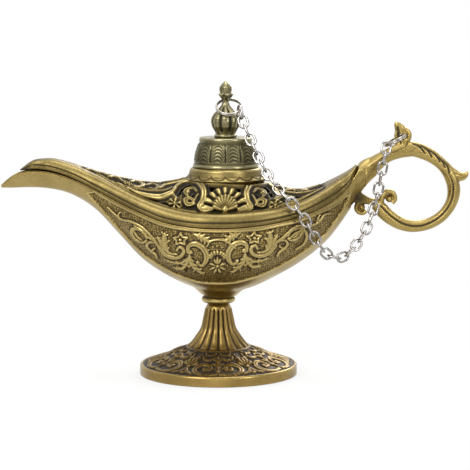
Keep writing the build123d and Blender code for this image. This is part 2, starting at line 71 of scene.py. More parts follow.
# Body: half spans, rim and rises, in millimetres
hull_low, hull_high = box_mm("hull")
FRONT_REACH = -hull_low[0]
REAR_REACH = hull_high[0]
HALF_WIDTH = 34.4
RIM_HEIGHT = 72.3
BOWL_DEPTH = 33.7
BEAK_RISE = 29.1
HULL_WALL = 1.8
COVER_WALL = 1.6
SEAM_GAP = 0.3
MOUTH_GAP = 0.9
MOUTH_END = 52.0
MOUTH_FADE = 30
BULGE_SHARE = 0.2
# Stations as shares: place along, half width, rim's rise, bowl's depth, strip's top, band's top, vault's
# half width and crest
BODY_SHARES = np.array((
    (-0.888, 0.151, 0.808, 0.231, 0.840, 0.886, 0.056, 0.886),
    (-0.789, 0.189, 0.808, 0.243, 0.873, 1.000, 0.051, 1.000),
    (-0.671, 0.238, 0.698, 0.237, 0.768, 0.920, 0.078, 0.928),
    (-0.562, 0.337, 0.529, 0.300, 0.605, 0.770, 0.173, 0.806),
    (-0.454, 0.503, 0.351, 0.493, 0.435, 0.601, 0.353, 0.707),
    (-0.355, 0.669, 0.210, 0.690, 0.286, 0.455, 0.528, 0.640),
    (-0.256, 0.814, 0.089, 0.797, 0.168, 0.344, 0.680, 0.625),
    (-0.138, 0.936, 0.021, 0.911, 0.102, 0.258, 0.805, 0.696),
    (0.0, 1.0, 0.0, 1.0, 0.093, 0.231, 0.869, 0.787),
    (0.226, 0.971, 0.021, 0.955, 0.106, 0.255, 0.840, 0.708),
    (0.452, 0.855, 0.079, 0.815, 0.151, 0.306, 0.724, 0.560),
    (0.613, 0.721, 0.155, 0.709, 0.237, 0.385, 0.590, 0.500),
    (0.742, 0.570, 0.244, 0.611, 0.347, 0.498, 0.439, 0.550),
    (0.839, 0.424, 0.340, 0.525, 0.448, 0.609, 0.295, 0.638),
    (0.919, 0.302, 0.450, 0.430, 0.544, 0.716, 0.178, 0.731),
    (1.0, 0.209, 0.643, 0.377, 0.722, 0.833, 0.077, 0.834),
))
LIP_SHARES = np.array(((-1.0, 0.047, 0.584, 0.042), (-0.957, 0.105, 0.711, 0.154)))
HULL_SHARES = np.vstack((LIP_SHARES, BODY_SHARES[:, :4]))
BEAK_TIP_SHARES = np.array(((-0.912, 0.040, 0.780, 0, 0.800, 0.830, 0.020, 0.830),))
COVER_TAIL_SHARES = np.array(((1.042, 0.076, 0.814, 0, 0.859, 0.900, 0.023, 0.900),))
COVER_SHARES = np.vstack((BEAK_TIP_SHARES, BODY_SHARES, COVER_TAIL_SHARES))

# The upright axis of the collar, cap and finial
TOP_OFFSET = 3.4
AXIS = (TOP_OFFSET, 0)
# The least radius of a turned piece, in millimetres
PIN = 0.02


# Small tools
def along(share):
    """Places along X from shares of the reach on their side."""
    share = np.asarray(share, float)
    return share * np.where(share < 0, FRONT_REACH, REAR_REACH)


def through(xs, ys, x):
    """A smooth curve through points, read at x."""
    xs, ys, x = np.asarray(xs, float), np.asarray(ys, float), np.asarray(x, float)
    slopes = np.gradient(ys, xs)
    k = np.clip(np.searchsorted(xs, x) - 1, 0, len(xs) - 2)
    h = xs[k + 1] - xs[k]
    t = (x - xs[k]) / h
    return ((2 * t**3 - 3 * t**2 + 1) * ys[k] + (t**3 - 2 * t**2 + t) * h * slopes[k]
            + (3 * t**2 - 2 * t**3) * ys[k + 1] + (t**3 - t**2) * h * slopes[k + 1])


def lengths_of(line):
    """The length along a line at each of its points."""
    steps = np.linalg.norm(np.diff(np.asarray(line, float), axis=0), axis=1)
    return np.concatenate(([0], np.cumsum(steps)))


def ways_of(line):
    """The unit direction of a line at each of its points."""
    way = np.gradient(line, axis=0)
    return way / np.maximum(np.linalg.norm(way, axis=1, keepdims=True), 1e-9)


def beside(line):
    """The unit direction to the left of a flat line at each of its points."""
    return ways_of(line)[:, ::-1] * (-1, 1)


def spline(points, step):
    """A dense smooth line through points of any dimension, and the share of its length at each."""
    points = np.asarray(points, float)
    chord = lengths_of(points)
    t = np.linspace(0, chord[-1], max(int(chord[-1] / step), 2) + 1)
    if len(points) == 2:
        line = points[0] + (points[1] - points[0]) * (t / chord[-1])[:, None]
    else:
        line = np.stack([through(chord, column, t) for column in points.T], 1)
    return line, t / chord[-1]


def smooth(low, high, x):
    """0 below low, 1 above high, eased between them."""
    t = np.clip((x - low) / (high - low), 0, 1)
    return t * t * (3 - 2 * t)


def between(x, low, full, fade, high):
    """0 outside low and high, 1 from full to fade, eased between them."""
    return smooth(low, full, x) * (1 - smooth(fade, high, x))


def bell(x, middle, width):
    """A soft bump of height 1 about a middle."""
    return np.exp(-((x - middle) / width) ** 2)


def spread(values, share):
    """Values set evenly along a line, read at shares of its length."""
    values = np.atleast_1d(values)
    return np.interp(share, np.linspace(0, 1, len(values)), values)


def camera_axes():
    """Unit vectors ahead, right and up of the camera."""
    ahead = (TARGET - EYE) / np.linalg.norm(TARGET - EYE)
    right = np.array((1.0, 0.0, 0.0))
    return ahead, right, np.cross(right, ahead)


def project(points):
    """Pixels of points given in millimetres."""
    ahead, right, up = camera_axes()
    d = np.asarray(points) - EYE
    slopes = np.stack((d @ right, -(d @ up)), -1) / (d @ ahead)[..., None]
    return IMAGE / 2 + FOCAL_PX * slopes


def on_plane(pixel, y):
    """Where the photograph's pixel falls on the upright plane at y: (x, z) in millimetres."""
    ahead, right, up = camera_axes()
    ray = ahead * FOCAL_PX + right * (pixel[0] - IMAGE / 2) - up * (pixel[1] - IMAGE / 2)
    spot = EYE + ray * (y - EYE[1]) / ray[1]
    return spot[0], spot[2]


def normals_of(grid):
    """Unit normals of a grid of points, from its two directions."""
    n = np.cross(np.gradient(grid, axis=0), np.gradient(grid, axis=1))
    return n / np.maximum(np.linalg.norm(n, axis=-1, keepdims=True), 1e-9)


def from_rim(grid):
    """Arc length of each point of a symmetrical grid from the edge on its own side."""
    steps = np.linalg.norm(np.diff(grid, axis=1), axis=-1)
    run = np.concatenate((np.zeros((len(grid), 1)), np.cumsum(steps, axis=1)), 1)
    return np.minimum(run, run[:, -1:] - run)


# Meshes: a solid is its points, faces, tone and pebble; the tone is patina together with painted light and
# shade.
# Recesses and proud spots, in millimetres, change the tone up to the wear limits
WEAR_LIMITS = (-0.5, 0.28)


def softened(points, edges, rounds):
    """The points, each moved to the mean of its neighbours a number of times."""
    count = len(points)
    ends = np.concatenate((edges[:, 0], edges[:, 1]))
    others = np.concatenate((edges[:, 1], edges[:, 0]))
    share = 1 / np.maximum(np.bincount(ends, minlength=count), 1)
    for _ in range(rounds):
        sums = [np.bincount(ends, column[others], minlength=count) for column in points.T]
        points = np.stack(sums, 1) * share[:, None]
    return points


def placed(name, data):
    """A new object in the scene."""
    made = bpy.data.objects.new(name, data)
    bpy.context.scene.collection.objects.link(made)
    return made


def rows_of(items, field, width=3, kind=np.float32):
    """A field of a mesh's vertices or edges, in rows."""
    values = np.empty(len(items) * width, dtype=kind)
    items.foreach_get(field, values)
    return values.reshape(-1, width)


def smooth_faces(mesh):
    """Shades all faces of a mesh smooth."""
    mesh.polygons.foreach_set("use_smooth", np.ones(len(mesh.polygons), dtype=bool))


def numbered(parts):
    """The faces of several (points, faces, ...) parts, numbered as one."""
    faces, count = [], 0
    for points, own_faces, *_ in parts:
        faces += [[v + count for v in face] for face in own_faces]
        count += len(points)
    return faces


def add_mesh(name, solid, material, node, body, wear=1.3):
    """A smooth piece from a solid in millimetres, worn brighter where it stands proud."""
    points, faces, patina_and_painted_light, pebble = solid
    mesh = bpy.data.meshes.new(name)
    mesh.from_pydata((points * MM).tolist(), [], faces)
    smooth_faces(mesh)
    mesh.update()
    around = softened(points, rows_of(mesh.edges, "vertices", 2, np.int32), 4)
    proud = ((points - around) * rows_of(mesh.vertices, "normal")).sum(1)
    # The tone holds patina together with painted light and shade, and wear is added to it
    worn = np.clip(patina_and_painted_light + wear * np.clip(proud, *WEAR_LIMITS), 0, 1)
    for title, values in (("patina_and_painted_light", worn), ("pebble", pebble)):
        layer = mesh.attributes.new(title, "FLOAT", "POINT")
        layer.data.foreach_set("value", values.astype(np.float32))
    piece = placed(name, mesh)
    mesh.materials.append(material)
    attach(piece, body)
    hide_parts(node)


def grid_quads(rows, columns, wrap=False):
    """Quads of a grid whose points are numbered row by row."""
    i, j = np.meshgrid(np.arange(rows - 1), np.arange(columns if wrap else columns - 1), indexing="ij")
    k = (j + 1) % columns
    quads = np.stack((i * columns + j, (i + 1) * columns + j, (i + 1) * columns + k, i * columns + k), -1)
    return quads.reshape(-1, 4)


def cut_grid(keep):
    """Faces of a grid where keep is above 0, and the points cut on its zero line as (a, b, share)."""
    rows, columns = keep.shape
    inside = keep > 0
    corners = (inside[:-1, :-1], inside[1:, :-1], inside[1:, 1:], inside[:-1, 1:])
    whole = corners[0] & corners[1] & corners[2] & corners[3]
    part = (corners[0] | corners[1] | corners[2] | corners[3]) & ~whole
    faces = grid_quads(rows, columns)[whole.ravel()].tolist()
    cuts, flat = {}, keep.ravel()
    for i, j in np.argwhere(part):
        loop = (i * columns + j, (i + 1) * columns + j, (i + 1) * columns + j + 1, i * columns + j + 1)
        face = []
        for a, b in zip(loop, loop[1:] + loop[:1]):
            if inside.flat[a]:
                face.append(int(a))
            if inside.flat[a] != inside.flat[b]:
                low, high = (a, b) if a < b else (b, a)
                if (low, high) not in cuts:
                    share = flat[low] / (flat[low] - flat[high])
                    cuts[(low, high)] = (len(cuts), min(max(share, 0.04), 0.96))
                face.append(rows * columns + cuts[(low, high)][0])
        faces.append(face)
    return faces, [(low, high, share) for (low, high), (_, share) in cuts.items()]


def shell(outer, inner, patina_and_painted_light, inner_tone, keep=None, pebble=None):
    """The solid between an outer and an inner grid, with its open edges bridged."""
    rows, columns = outer.shape[:2]
    faces, cuts = (grid_quads(rows, columns).tolist(), []) if keep is None else cut_grid(keep)

    def flat(values):
        values = values.reshape(rows * columns, -1)
        if not cuts:
            return values
        low, high, share = (np.array(column) for column in zip(*cuts))
        share = share[:, None]
        return np.vstack((values, values[low] * (1 - share) + values[high] * share))

    top, under = flat(outer), flat(inner)
    count = len(top)
    edges = {}
    for face in faces:
        for a, b in zip(face, face[1:] + face[:1]):
            if edges.pop((b, a), None) is None:
                edges[(a, b)] = True
    faces = faces + [[v + count for v in reversed(face)] for face in faces]
    faces += [[b, a, a + count, b + count] for a, b in edges]
    points = np.vstack((top, under))
    tones = np.concatenate((flat(patina_and_painted_light).ravel(), np.full(count, inner_tone)))
    ground = np.zeros(count) if pebble is None else flat(pebble).ravel()
    ground = np.concatenate((ground, np.zeros(count)))
    used = np.zeros(len(points), dtype=bool)
    used[[v for face in faces for v in face]] = True
    number = np.cumsum(used) - 1
    faces = [[int(number[v]) for v in face] for face in faces]
    return points[used], faces, tones[used], ground[used]


def turned(profile, count, look, step=0.4, centre=(0, 0)):
    """A turned solid, from (radius, z) points that run up its outside.

    look gives its relief and its tone at (millimetres along the profile, angle)."""
    profile = np.asarray(profile, float)
    runs = []
    for a, b in zip(profile, profile[1:]):
        runs.append(np.linspace(a, b, max(int(np.hypot(*(b - a)) / step), 1) + 1)[:-1])
    line = np.vstack(runs + [profile[-1:]])
    s = lengths_of(line)
    way = ways_of(line)
    angle = -np.arange(count) * 2 * pi / count
    ss, aa = np.meshgrid(s, angle, indexing="ij")
    lift, tone = look(ss, aa)
    radius = np.maximum(line[:, :1] + way[:, 1:] * lift, PIN)
    z = line[:, 1:] - way[:, :1] * lift
    points = np.stack((centre[0] + radius * np.cos(aa), centre[1] + radius * np.sin(aa), z), -1)
    faces = grid_quads(len(s), count, wrap=True).tolist()
    faces += [list(range(count)), list(range((len(s) - 1) * count, len(s) * count))[::-1]]
    return points.reshape(-1, 3), faces, tone.ravel(), np.zeros(ss.size)


def joined(*solids):
    """Several solids as one."""
    points, _, tones, grounds = zip(*solids)
    return np.vstack(points), numbered(solids), np.concatenate(tones), np.concatenate(grounds)


def distance_into(outline, u, v):
    """How far places lie inside a closed outline, negative outside it."""
    outline = np.asarray(outline, float)
    places = np.stack((u.ravel(), v.ravel()), 1)
    best = np.full(len(places), 1e9)
    inside = np.zeros(len(places), dtype=bool)
    for a, b in zip(outline, np.roll(outline, -1, axis=0)):
        d = b - a
        t = np.clip(((places - a) @ d) / max(d @ d, 1e-9), 0, 1)
        best = np.minimum(best, np.hypot(*(places - a - t[:, None] * d).T))
        if a[1] != b[1]:
            crosses = (a[1] > places[:, 1]) != (b[1] > places[:, 1])
            inside ^= crosses & (places[:, 0] < a[0] + (places[:, 1] - a[1]) * d[0] / d[1])
    return np.where(inside, best, -best).reshape(u.shape)


# Relief: the spacing of a stroke's points and the margin about it in millimetres, and its grooves' depth
# as a share of its height
STROKE_STEP = 0.35
STROKE_MARGIN = 1.2
STROKE_GROOVE_SHARE = 0.55


class Relief:
    """Heights drawn with strokes, over a rectangle of a surface's own millimetres.

    height is what is raised, cover how far each cell lies into the strokes, and ink the carved lines."""

    def __init__(self, low, high, cell=0.2):
        self.low, self.cell = np.array(low, float), cell
        self.shape = tuple(int((h - l) / cell) + 2 for l, h in zip(low, high))
        self.height = np.zeros(self.shape)
        self.cover = np.full(self.shape, -3.0)
        self.ink = np.zeros(self.shape)

    def places(self):
        """Every cell's place along and across."""
        return np.meshgrid(self.low[0] + np.arange(self.shape[0]) * self.cell,
                           self.low[1] + np.arange(self.shape[1]) * self.cell, indexing="ij")

    def ridge(self, points, widths, grooves=0):
        """The cells about a smooth line, their rounded height (0 to 1) and how far inside it they lie."""
        line, share = spline(points, STROKE_STEP)
        wide = spread(widths, share)
        reach = wide.max() + STROKE_MARGIN
        a = np.maximum(((line.min(0) - reach - self.low) / self.cell).astype(int), 0)
        b = np.minimum(((line.max(0) + reach - self.low) / self.cell).astype(int) + 2, self.shape)
        if (b <= a).any():
            return (slice(0), slice(0)), np.zeros((0, 0)), np.zeros((0, 0))
        u, v = (self.low[k] + np.arange(a[k], b[k]) * self.cell for k in (0, 1))
        cells = np.stack(np.meshgrid(u, v, indexing="ij"), -1).reshape(-1, 2)
        best = np.full(len(cells), 9.0)
        over = np.full(len(cells), -3.0)
        for spot, half in zip(line, wide):
            d = np.hypot(*(cells - spot).T)
            np.minimum(best, d / half, out=best)
            np.maximum(over, half - d, out=over)
        dome = np.sqrt(np.clip(1 - best**2, 0, 1))
        if grooves:
            cuts = np.clip(np.cos(best * pi * grooves), 0, 1) ** 3 * (best < 1)
            dome = dome * (1 - STROKE_GROOVE_SHARE * cuts)
        shape = (len(u), len(v))
        return (slice(a[0], b[0]), slice(a[1], b[1])), dome.reshape(shape), over.reshape(shape)

    def stroke(self, points, widths, lift, grooves=0):
        """A rounded ridge along a smooth line. widths are half widths along it; grooves are cut along it."""
        window, dome, over = self.ridge(points, widths, grooves)
        self.height[window] = np.maximum(self.height[window], dome * lift)
        self.cover[window] = np.maximum(self.cover[window], over)

    def line(self, points, half):
        """A fine carved line."""
        window, dome, _ = self.ridge(points, half)
        self.ink[window] = np.maximum(self.ink[window], dome)

    def dot(self, centre, radius, lift):
        """A round bead."""
        self.stroke((centre, np.array(centre) + (0.01, 0.01)), radius, lift)

    def leaf(self, points, half, lift, lobes=4):
        """A leaf with a mid rib and side lobes along a smooth line."""
        line, share = spline(points, 0.5)
        swell = np.sin(pi * np.clip(share * 0.92 + 0.06, 0, 1)) ** 0.7 * half
        self.stroke(line[::2], np.maximum(swell[::2] * 0.62, 0.18), lift * 0.72)
        self.stroke(line[::2], np.maximum(swell[::2] * 0.20, 0.16), lift)
        way, side = ways_of(line), beside(line)
        for number in range(lobes):
            k = int((0.18 + 0.68 * number / max(lobes - 1, 1)) * (len(line) - 1))
            for sign in (-1, 1):
                tip = line[k] + (side[k] * sign + way[k] * 0.75) * swell[k] * 0.95
                self.stroke((line[k], tip), (0.26 * swell[k] + 0.14, 0.16 * swell[k] + 0.1), lift * 0.85)

    def flower(self, centre, radius, petals, lift, turn=0.0):
        """A rosette of round petals about a bead."""
        centre = np.array(centre)
        for k in range(petals):
            a = radians(turn) + 2 * pi * k / petals
            way = np.array((cos(a), sin(a))) * radius
            self.stroke((centre + way * 0.3, centre + way * 0.78), (radius * 0.14, radius * 0.30), lift)
        self.dot(centre, radius * 0.26, lift * 1.1)

    def read(self, field, u, v):
        """A field of the relief at places along and across, read between its cells."""
        a = np.clip((u - self.low[0]) / self.cell, 0, self.shape[0] - 1.001)
        b = np.clip((v - self.low[1]) / self.cell, 0, self.shape[1] - 1.001)
        i, j = a.astype(int), b.astype(int)
        s, t = a - i, b - j
        return (field[i, j] * (1 - s) * (1 - t) + field[i + 1, j] * s * (1 - t)
                + field[i, j + 1] * (1 - s) * t + field[i + 1, j + 1] * s * t)


def blurred(field, cells):
    """A field blurred by four box passes, two along each axis."""
    span = 2 * cells + 1
    for _ in range(4):
        padded = np.pad(field, ((cells, cells), (0, 0)), "edge")
        field = sum(padded[k:k + len(field)] for k in range(span)).T / span
    return field


# How many cells past its nearest point a chart may place a pixel
CHART_REACH = 1.5


class Chart:
    """Finds where on a surface a pixel of the photograph falls, in the surface's own millimetres."""

    def __init__(self, points, places):
        self.spots = project(points).reshape(-1, 2)
        self.places = places.reshape(-1, 2)
        self.columns = points.shape[1]

    def at(self, pixel):
        """The place under a pixel: the nearest point's, moved by the pixel's distance from it."""
        k = int(np.argmin(((self.spots - pixel) ** 2).sum(1)))
        row, column = divmod(k, self.columns)
        row = min(max(row, 1), len(self.spots) // self.columns - 2)
        column = min(max(column, 1), self.columns - 2)
        k = row * self.columns + column
        steps = (self.columns, 1)
        turn = np.array([(self.spots[k + n] - self.spots[k - n]) / 2 for n in steps]).T
        if abs(np.linalg.det(turn)) < 1e-4:
            return self.places[k]
        away = np.linalg.solve(turn, np.asarray(pixel, float) - self.spots[k])
        a, b = np.clip(away, -CHART_REACH, CHART_REACH)
        ways = [(self.places[k + n] - self.places[k - n]) / 2 for n in steps]
        return self.places[k] + a * ways[0] + b * ways[1]

    def line(self, pixels, flip=None):
        """Places of pixels, each mirrored first where flip says how."""
        return [self.at(flip(pixel) if flip else pixel) for pixel in pixels]


def draw(relief, chart, rise, strokes=(), leaves=(), flowers=(), dots=(), flip=None):
    """Draws rows of pixels onto a relief.

    strokes are (line, half widths, share of the rise, grooves), leaves (line, half width, share, lobes),
    flowers (centre, radius, share, turn) and dots (centre, radius, share)."""
    for pixels, widths, share, grooves in strokes:
        relief.stroke(chart.line(pixels, flip), widths, rise * share, grooves)
    for pixels, half, share, lobes in leaves:
        relief.leaf(chart.line(pixels, flip), half, rise * share, lobes)
    for pixel, radius, share, turn in flowers:
        relief.flower(chart.line([pixel], flip)[0], radius, 6, rise * share, turn)
    for pixel, radius, share in dots:
        relief.dot(chart.line([pixel], flip)[0], radius, rise * share)


def rays(near, far, start, step, count):
    """Lines between two ovals, each (x, y, half width, half height), at even steps of angle."""
    lines = []
    for k in range(count):
        t = radians(start + step * k)
        lines.append([(x + a * cos(t), y + b * sin(t)) for x, y, a, b in (near, far)])
    return lines


# Materials: sizes of the noise per metre, how far it swings the tone, the beads' domes as (distance from,
# distance to, tone from, tone to), and depths in metres
BLOTCH_SCALE = 90
BLOTCH_SWING = 0.34
SPECK_SCALE = 900
SPECK_SWING = 0.22
BEAD_SCALE = 1180
BEAD_DOME = (0.15, 0.55, 0.58, -0.16)
SCRATCH_DEPTH = 0.0002
BEAD_DEPTH = 0.0003
DULL_STEEL_SHARE = 0.72
STEEL_CLOUD_SCALE = 700


def feed(tree, socket, value):
    """Sets a socket to a value, or links it to another node's output."""
    if isinstance(value, bpy.types.NodeSocket):
        tree.links.new(value, socket)
    else:
        socket.default_value = value


def shade(tree, kind, operation=None, attribute=None, **inputs):
    """A new shader node, with its inputs given by name in small letters."""
    made = tree.nodes.new("ShaderNode" + kind)
    if operation:
        made.operation = operation
    if attribute:
        made.attribute_name = attribute
    for title, value in inputs.items():
        feed(tree, made.inputs[title.replace("_", " ").title()], value)
    return made


def maths(tree, operation, *values):
    """The result of a math node."""
    made = shade(tree, "Math", operation)
    for socket, value in zip(made.inputs, values):
        feed(tree, socket, value)
    return made.outputs[0]


def ranged(tree, value, low, high, to_low, to_high):
    """A value carried from one range to another."""
    made = shade(tree, "MapRange", value=value, from_min=low, from_max=high, to_min=to_low, to_max=to_high)
    return made.outputs["Result"]


def tinted(tree, value, *stops):
    """A colour ramp's colour at a value, from (position, colour) stops."""
    made = shade(tree, "ValToRGB", fac=value)
    elements = made.color_ramp.elements
    for _ in stops[2:]:
        elements.new(1.0)
    for element, (position, colour) in zip(elements, stops):
        element.position = position
        element.color = (*colour, 1)
    return made.outputs["Color"]


def blend(tree, share, first, second):
    """The output of a mix of two shaders."""
    made = shade(tree, "MixShader", fac=share)
    feed(tree, made.inputs[1], first)
    feed(tree, made.inputs[2], second)
    return made.outputs[0]


def new_material(name):
    """A material with nodes, its tree, its shader, and where the surface lies in the piece."""
    material = bpy.data.materials.new(name)
    material.use_nodes = True
    tree = material.node_tree
    return material, tree, tree.nodes["Principled BSDF"], shade(tree, "TexCoord").outputs["Object"]


def brass(name, bright, mid, dark, rough, grain=1.0):
    """Antiqued cast metal: dark in recesses, worn bright on the highs, with blotches and scratches."""
    material, tree, shader, place = new_material(name)
    # The tone attribute holds patina together with painted light and shade
    patina_and_painted_light = shade(tree, "Attribute", attribute="patina_and_painted_light").outputs["Fac"]
    pebble = shade(tree, "Attribute", attribute="pebble").outputs["Fac"]
    blotch = shade(tree, "TexNoise", vector=place, scale=BLOTCH_SCALE, detail=5).outputs["Fac"]
    speck = shade(tree, "TexNoise", vector=place, scale=SPECK_SCALE, detail=3).outputs["Fac"]
    wander = maths(tree, "MULTIPLY_ADD", blotch, BLOTCH_SWING * grain, -BLOTCH_SWING / 2 * grain)
    wander = maths(tree, "MULTIPLY_ADD", speck, SPECK_SWING * grain, wander)
    bead = shade(tree, "TexVoronoi", vector=place, scale=BEAD_SCALE, randomness=0.45).outputs["Distance"]
    dome = ranged(tree, bead, *BEAD_DOME)
    tone = maths(tree, "MULTIPLY_ADD", dome, pebble, maths(tree, "ADD", patina_and_painted_light, wander))
    feed(tree, shader.inputs["Base Color"], tinted(tree, tone, (0.08, dark), (0.52, mid), (1.0, bright)))
    feed(tree, shader.inputs["Roughness"], ranged(tree, tone, 0.1, 0.9, min(rough + 0.34, 0.9), rough))
    feed(tree, shader.inputs["Metallic"], ranged(tree, tone, 0.05, 0.4, 0.35, 1.0))
    scratched = shade(tree, "Bump", strength=0.10 * grain, distance=SCRATCH_DEPTH, height=speck)
    studs = maths(tree, "MULTIPLY", dome, pebble)
    beads = shade(tree, "Bump", strength=0.6, distance=BEAD_DEPTH, height=studs)
    feed(tree, beads.inputs["Normal"], scratched.outputs["Normal"])
    feed(tree, shader.inputs["Normal"], beads.outputs["Normal"])
    return material


def steel(name, colour, rough):
    """Plated steel wire or screws, with a little variation in its tint and gloss."""
    material, tree, shader, place = new_material(name)
    shader.inputs["Metallic"].default_value = 1.0
    cloud = shade(tree, "TexNoise", vector=place, scale=STEEL_CLOUD_SCALE).outputs["Fac"]
    dull = tuple(channel * DULL_STEEL_SHARE for channel in colour)
    feed(tree, shader.inputs["Base Color"], tinted(tree, cloud, (0.0, dull), (0.6, colour)))
    feed(tree, shader.inputs["Roughness"], ranged(tree, cloud, 0, 1, rough, rough + 0.14))
    return material


DARK_GOLD = (0.009, 0.006, 0.003)
DARK_BRASS = (0.006, 0.005, 0.0025)
DARK_FOOT = (0.006, 0.0045, 0.0025)
DARK_CAP = (0.006, 0.0055, 0.004)
body_brass = brass("body_brass", (0.54, 0.43, 0.18), (0.25, 0.172, 0.052), DARK_GOLD, 0.29)
relief_brass = brass("relief_brass", (0.42, 0.33, 0.13), (0.125, 0.090, 0.029), DARK_BRASS, 0.31)
foot_brass = brass("foot_brass", (0.46, 0.33, 0.11), (0.17, 0.105, 0.030), DARK_FOOT, 0.25)
cap_brass = brass("cap_brass", (0.34, 0.305, 0.17), (0.098, 0.087, 0.042), DARK_CAP, 0.30)
handle_gold = brass("handle_gold", (0.58, 0.45, 0.17), (0.30, 0.215, 0.066), DARK_GOLD, 0.27, grain=0.6)
chain_steel = steel("chain_steel", (0.42, 0.40, 0.38), 0.12)
ring_steel = steel("ring_steel", (0.44, 0.41, 0.36), 0.14)
fastener_steel = steel("fastener_steel", (0.52, 0.52, 0.50), 0.35)


# The bowl's carved panel, in the photograph's pixels: its outline and the rows that draw() takes
PANEL_OUTLINE = (
    (88, 194), (94, 192.5), (102, 197.5), (111, 202.8), (120, 207.5), (140, 217), (160, 225.5), (180, 230),
    (200, 231.8), (235, 232), (260, 230.5), (280, 226.5), (300, 222), (320, 213.5), (330, 209), (337, 205),
    (346, 197), (350, 196.5), (348, 201), (343, 210), (335, 222), (325, 235), (312, 246), (296, 257),
    (278, 267.5), (258, 276.5), (238, 282.5), (218, 284), (196, 282), (176, 274.5), (160, 266), (146, 257),
    (133, 245), (120, 231), (108, 217), (97, 204.5),
)
PANEL_MIDDLE = 217.25
PANEL_MIRROR_RISE = 1.197
PANEL_MIRROR_SLANT = 0.012
PAIR_STROKES = (
    (((159, 248), (166, 256), (175, 258.5), (181.5, 256), (183, 250), (179, 247.5), (176.5, 251)),
     (1.2, 1.15, 0.9, 0.6), 1, 1),
    (((158, 239), (163, 248), (170, 254), (176, 255)), (0.65, 0.7, 0.5), 1, 1),
    (((187.5, 253), (188, 247), (193, 244.5), (200, 246.5), (205.5, 253), (206, 261), (201, 266.5),
      (197, 264)), (0.7, 1.3, 1.5, 1.2, 0.6), 1, 1),
    (((134, 233), (137, 237.5), (141, 240.5)), (0.5, 0.9, 0.3), 0.8, 0),
    (((154, 243), (148.5, 243), (146.5, 247.5), (150, 251), (154, 249)), (0.5, 0.7, 0.5), 1, 1),
    (((150, 251), (155, 255), (157, 259)), (0.7, 0.5), 1, 0),
)
PAIR_LEAVES = (
    (((168, 254), (164, 246), (163.5, 239), (164.5, 233)), 2.7, 1, 3),
    (((166, 252), (160, 244), (156.5, 236.5)), 1.8, 0.9, 2),
    (((189, 255), (190.5, 263), (197, 271), (204, 276)), 2.3, 1, 4),
    (((189, 256), (187, 264), (180, 270), (172, 267.5)), 2.1, 1, 4),
    (((188, 258), (180, 264), (172, 263), (164, 260)), 1.4, 0.9, 3),
    (((193.5, 234.5), (200, 237), (206, 240.5), (211, 243.5)), 2.1, 1, 4),
)
PAIR_DOTS = (((190, 253), 1.2, 1), ((197.3, 263), 0.95, 1), ((179.5, 240.3), 0.8, 1))
STAR_OVAL = (180, 240, 7.4, 6.2)
STAR_NOTCH_SHARE = 0.52
STAR_POINTS = 5
STAR_LINE_HALF = 0.48
LOOP_OVAL = (138.5, 236, 7.6, 6.2)
LOOP_SLANT = 3.2
SINGLE_STROKES = (
    (((107, 207.5), (113, 213.5), (119, 219), (130, 222), (141, 227.6), (152, 238.4), (159, 248)),
     (0.35, 0.6, 0.75, 0.8), 1, 1),
    (((119, 219), (117.5, 215.5), (119, 213)), (0.5, 0.3), 1, 0),
    (((133, 226), (139, 229), (146, 236.5), (152, 241)), (0.3, 0.5, 0.4), 0.8, 0),
    (((275, 244), (284, 238), (291, 231.5), (303, 227.5), (313, 226)), (0.8, 0.75, 0.6), 1, 1),
    (((313, 226), (320, 222), (325, 215.5), (331, 213.5)), (0.6, 0.8, 0.4), 1, 1),
    (((290, 239), (297, 233), (305, 231), (307.5, 237), (304, 245), (297, 249.5)), (0.4, 0.7, 0.6), 1, 1),
    (((206.5, 247), (210, 242), (217.5, 240), (226, 241.5), (232, 246), (236, 249)),
     (0.45, 0.6, 0.45), 1, 0),
    (((217.4, 258.5), (217.3, 261), (217.3, 264)), (0.4, 0.8, 0.4), 1, 0),
)
SINGLE_LEAVES = ((((318, 223), (319, 218), (321, 214.5)), 0.9, 1, 2),)
ARCH_DOT_COLUMNS = (208.5, 212.7, 217.3, 222, 226.4)
ARCH_TOP = (217, 246.8)
ARCH_CURVE = 0.05
# Ovals that the petals run between, and the petals' first angle, step and count
PALMETTE_OVALS = ((217.5, 258.5, 5.4, 3.2), (217.5, 258, 8.6, 5.4))
PALMETTE_PETALS = (180, 22.5, 9)
BLOSSOM_OVALS = ((217.3, 267, 3.2, 3.0), (217.3, 267, 8.2, 7.6))
BLOSSOM_PETALS = (22.5, 45, 8)
BLOSSOM_CENTRE = (217.3, 267)
# Millimetres: how far the relief runs down from the rim, and its depths and heights
PANEL_RUN = 56
PANEL_DEPTH = 0.8
BORDER_RISE = 0.16
ORNAMENT_RISE = 0.95
# Tones: the plain bowl's, and what the panel's parts add to it or take from it
BOWL_TONE = 0.62
GROUND_LOSS = 0.28
PROUD_GAIN = 0.04
BORDER_GAIN = 0.08
AROUND_LOSS = 0.34
# Painted light: the bowl is made lighter towards its foot
LOW_PAINTED_LIGHT = 0.14
# Painted shade along the rim, in the seam under the cover
LIP_SEAM_SHADE = 0.5
# Painted shade on the collar's top, under the bowl
COLLAR_UNDER_BOWL_SHADE = 0.48
# Painted shade: the insides of the bowl and the cover are made near black
INSIDE_SHADE_TONE = 0.02
# Millimetres between which the painted light and shade change: the painted light down to the foot, and the
# painted seam shade on the rim from the spout's tip
LOW_FADE = (40, 52)
TIP_FADE = (-96, -90)

# The bowl's foot: how far it is drawn down to the collar, between two distances from the axis
FOOT_BLEND = 2.6
FOOT_BLEND_FROM = 7.2
FOOT_BLEND_TO = 13.5
HULL_COLLAR_PROFILE = (
    (PIN, 33.8), (6.6, 33.75), (7.3, 34.0), (7.8, 34.6), (7.9, 35.3), (7.7, 36.0), (7.3, 36.4), (7.0, 36.55),
    (6.95, 37.4), (7.3, 38.0), (7.9, 38.6), (PIN, 39.4),
)


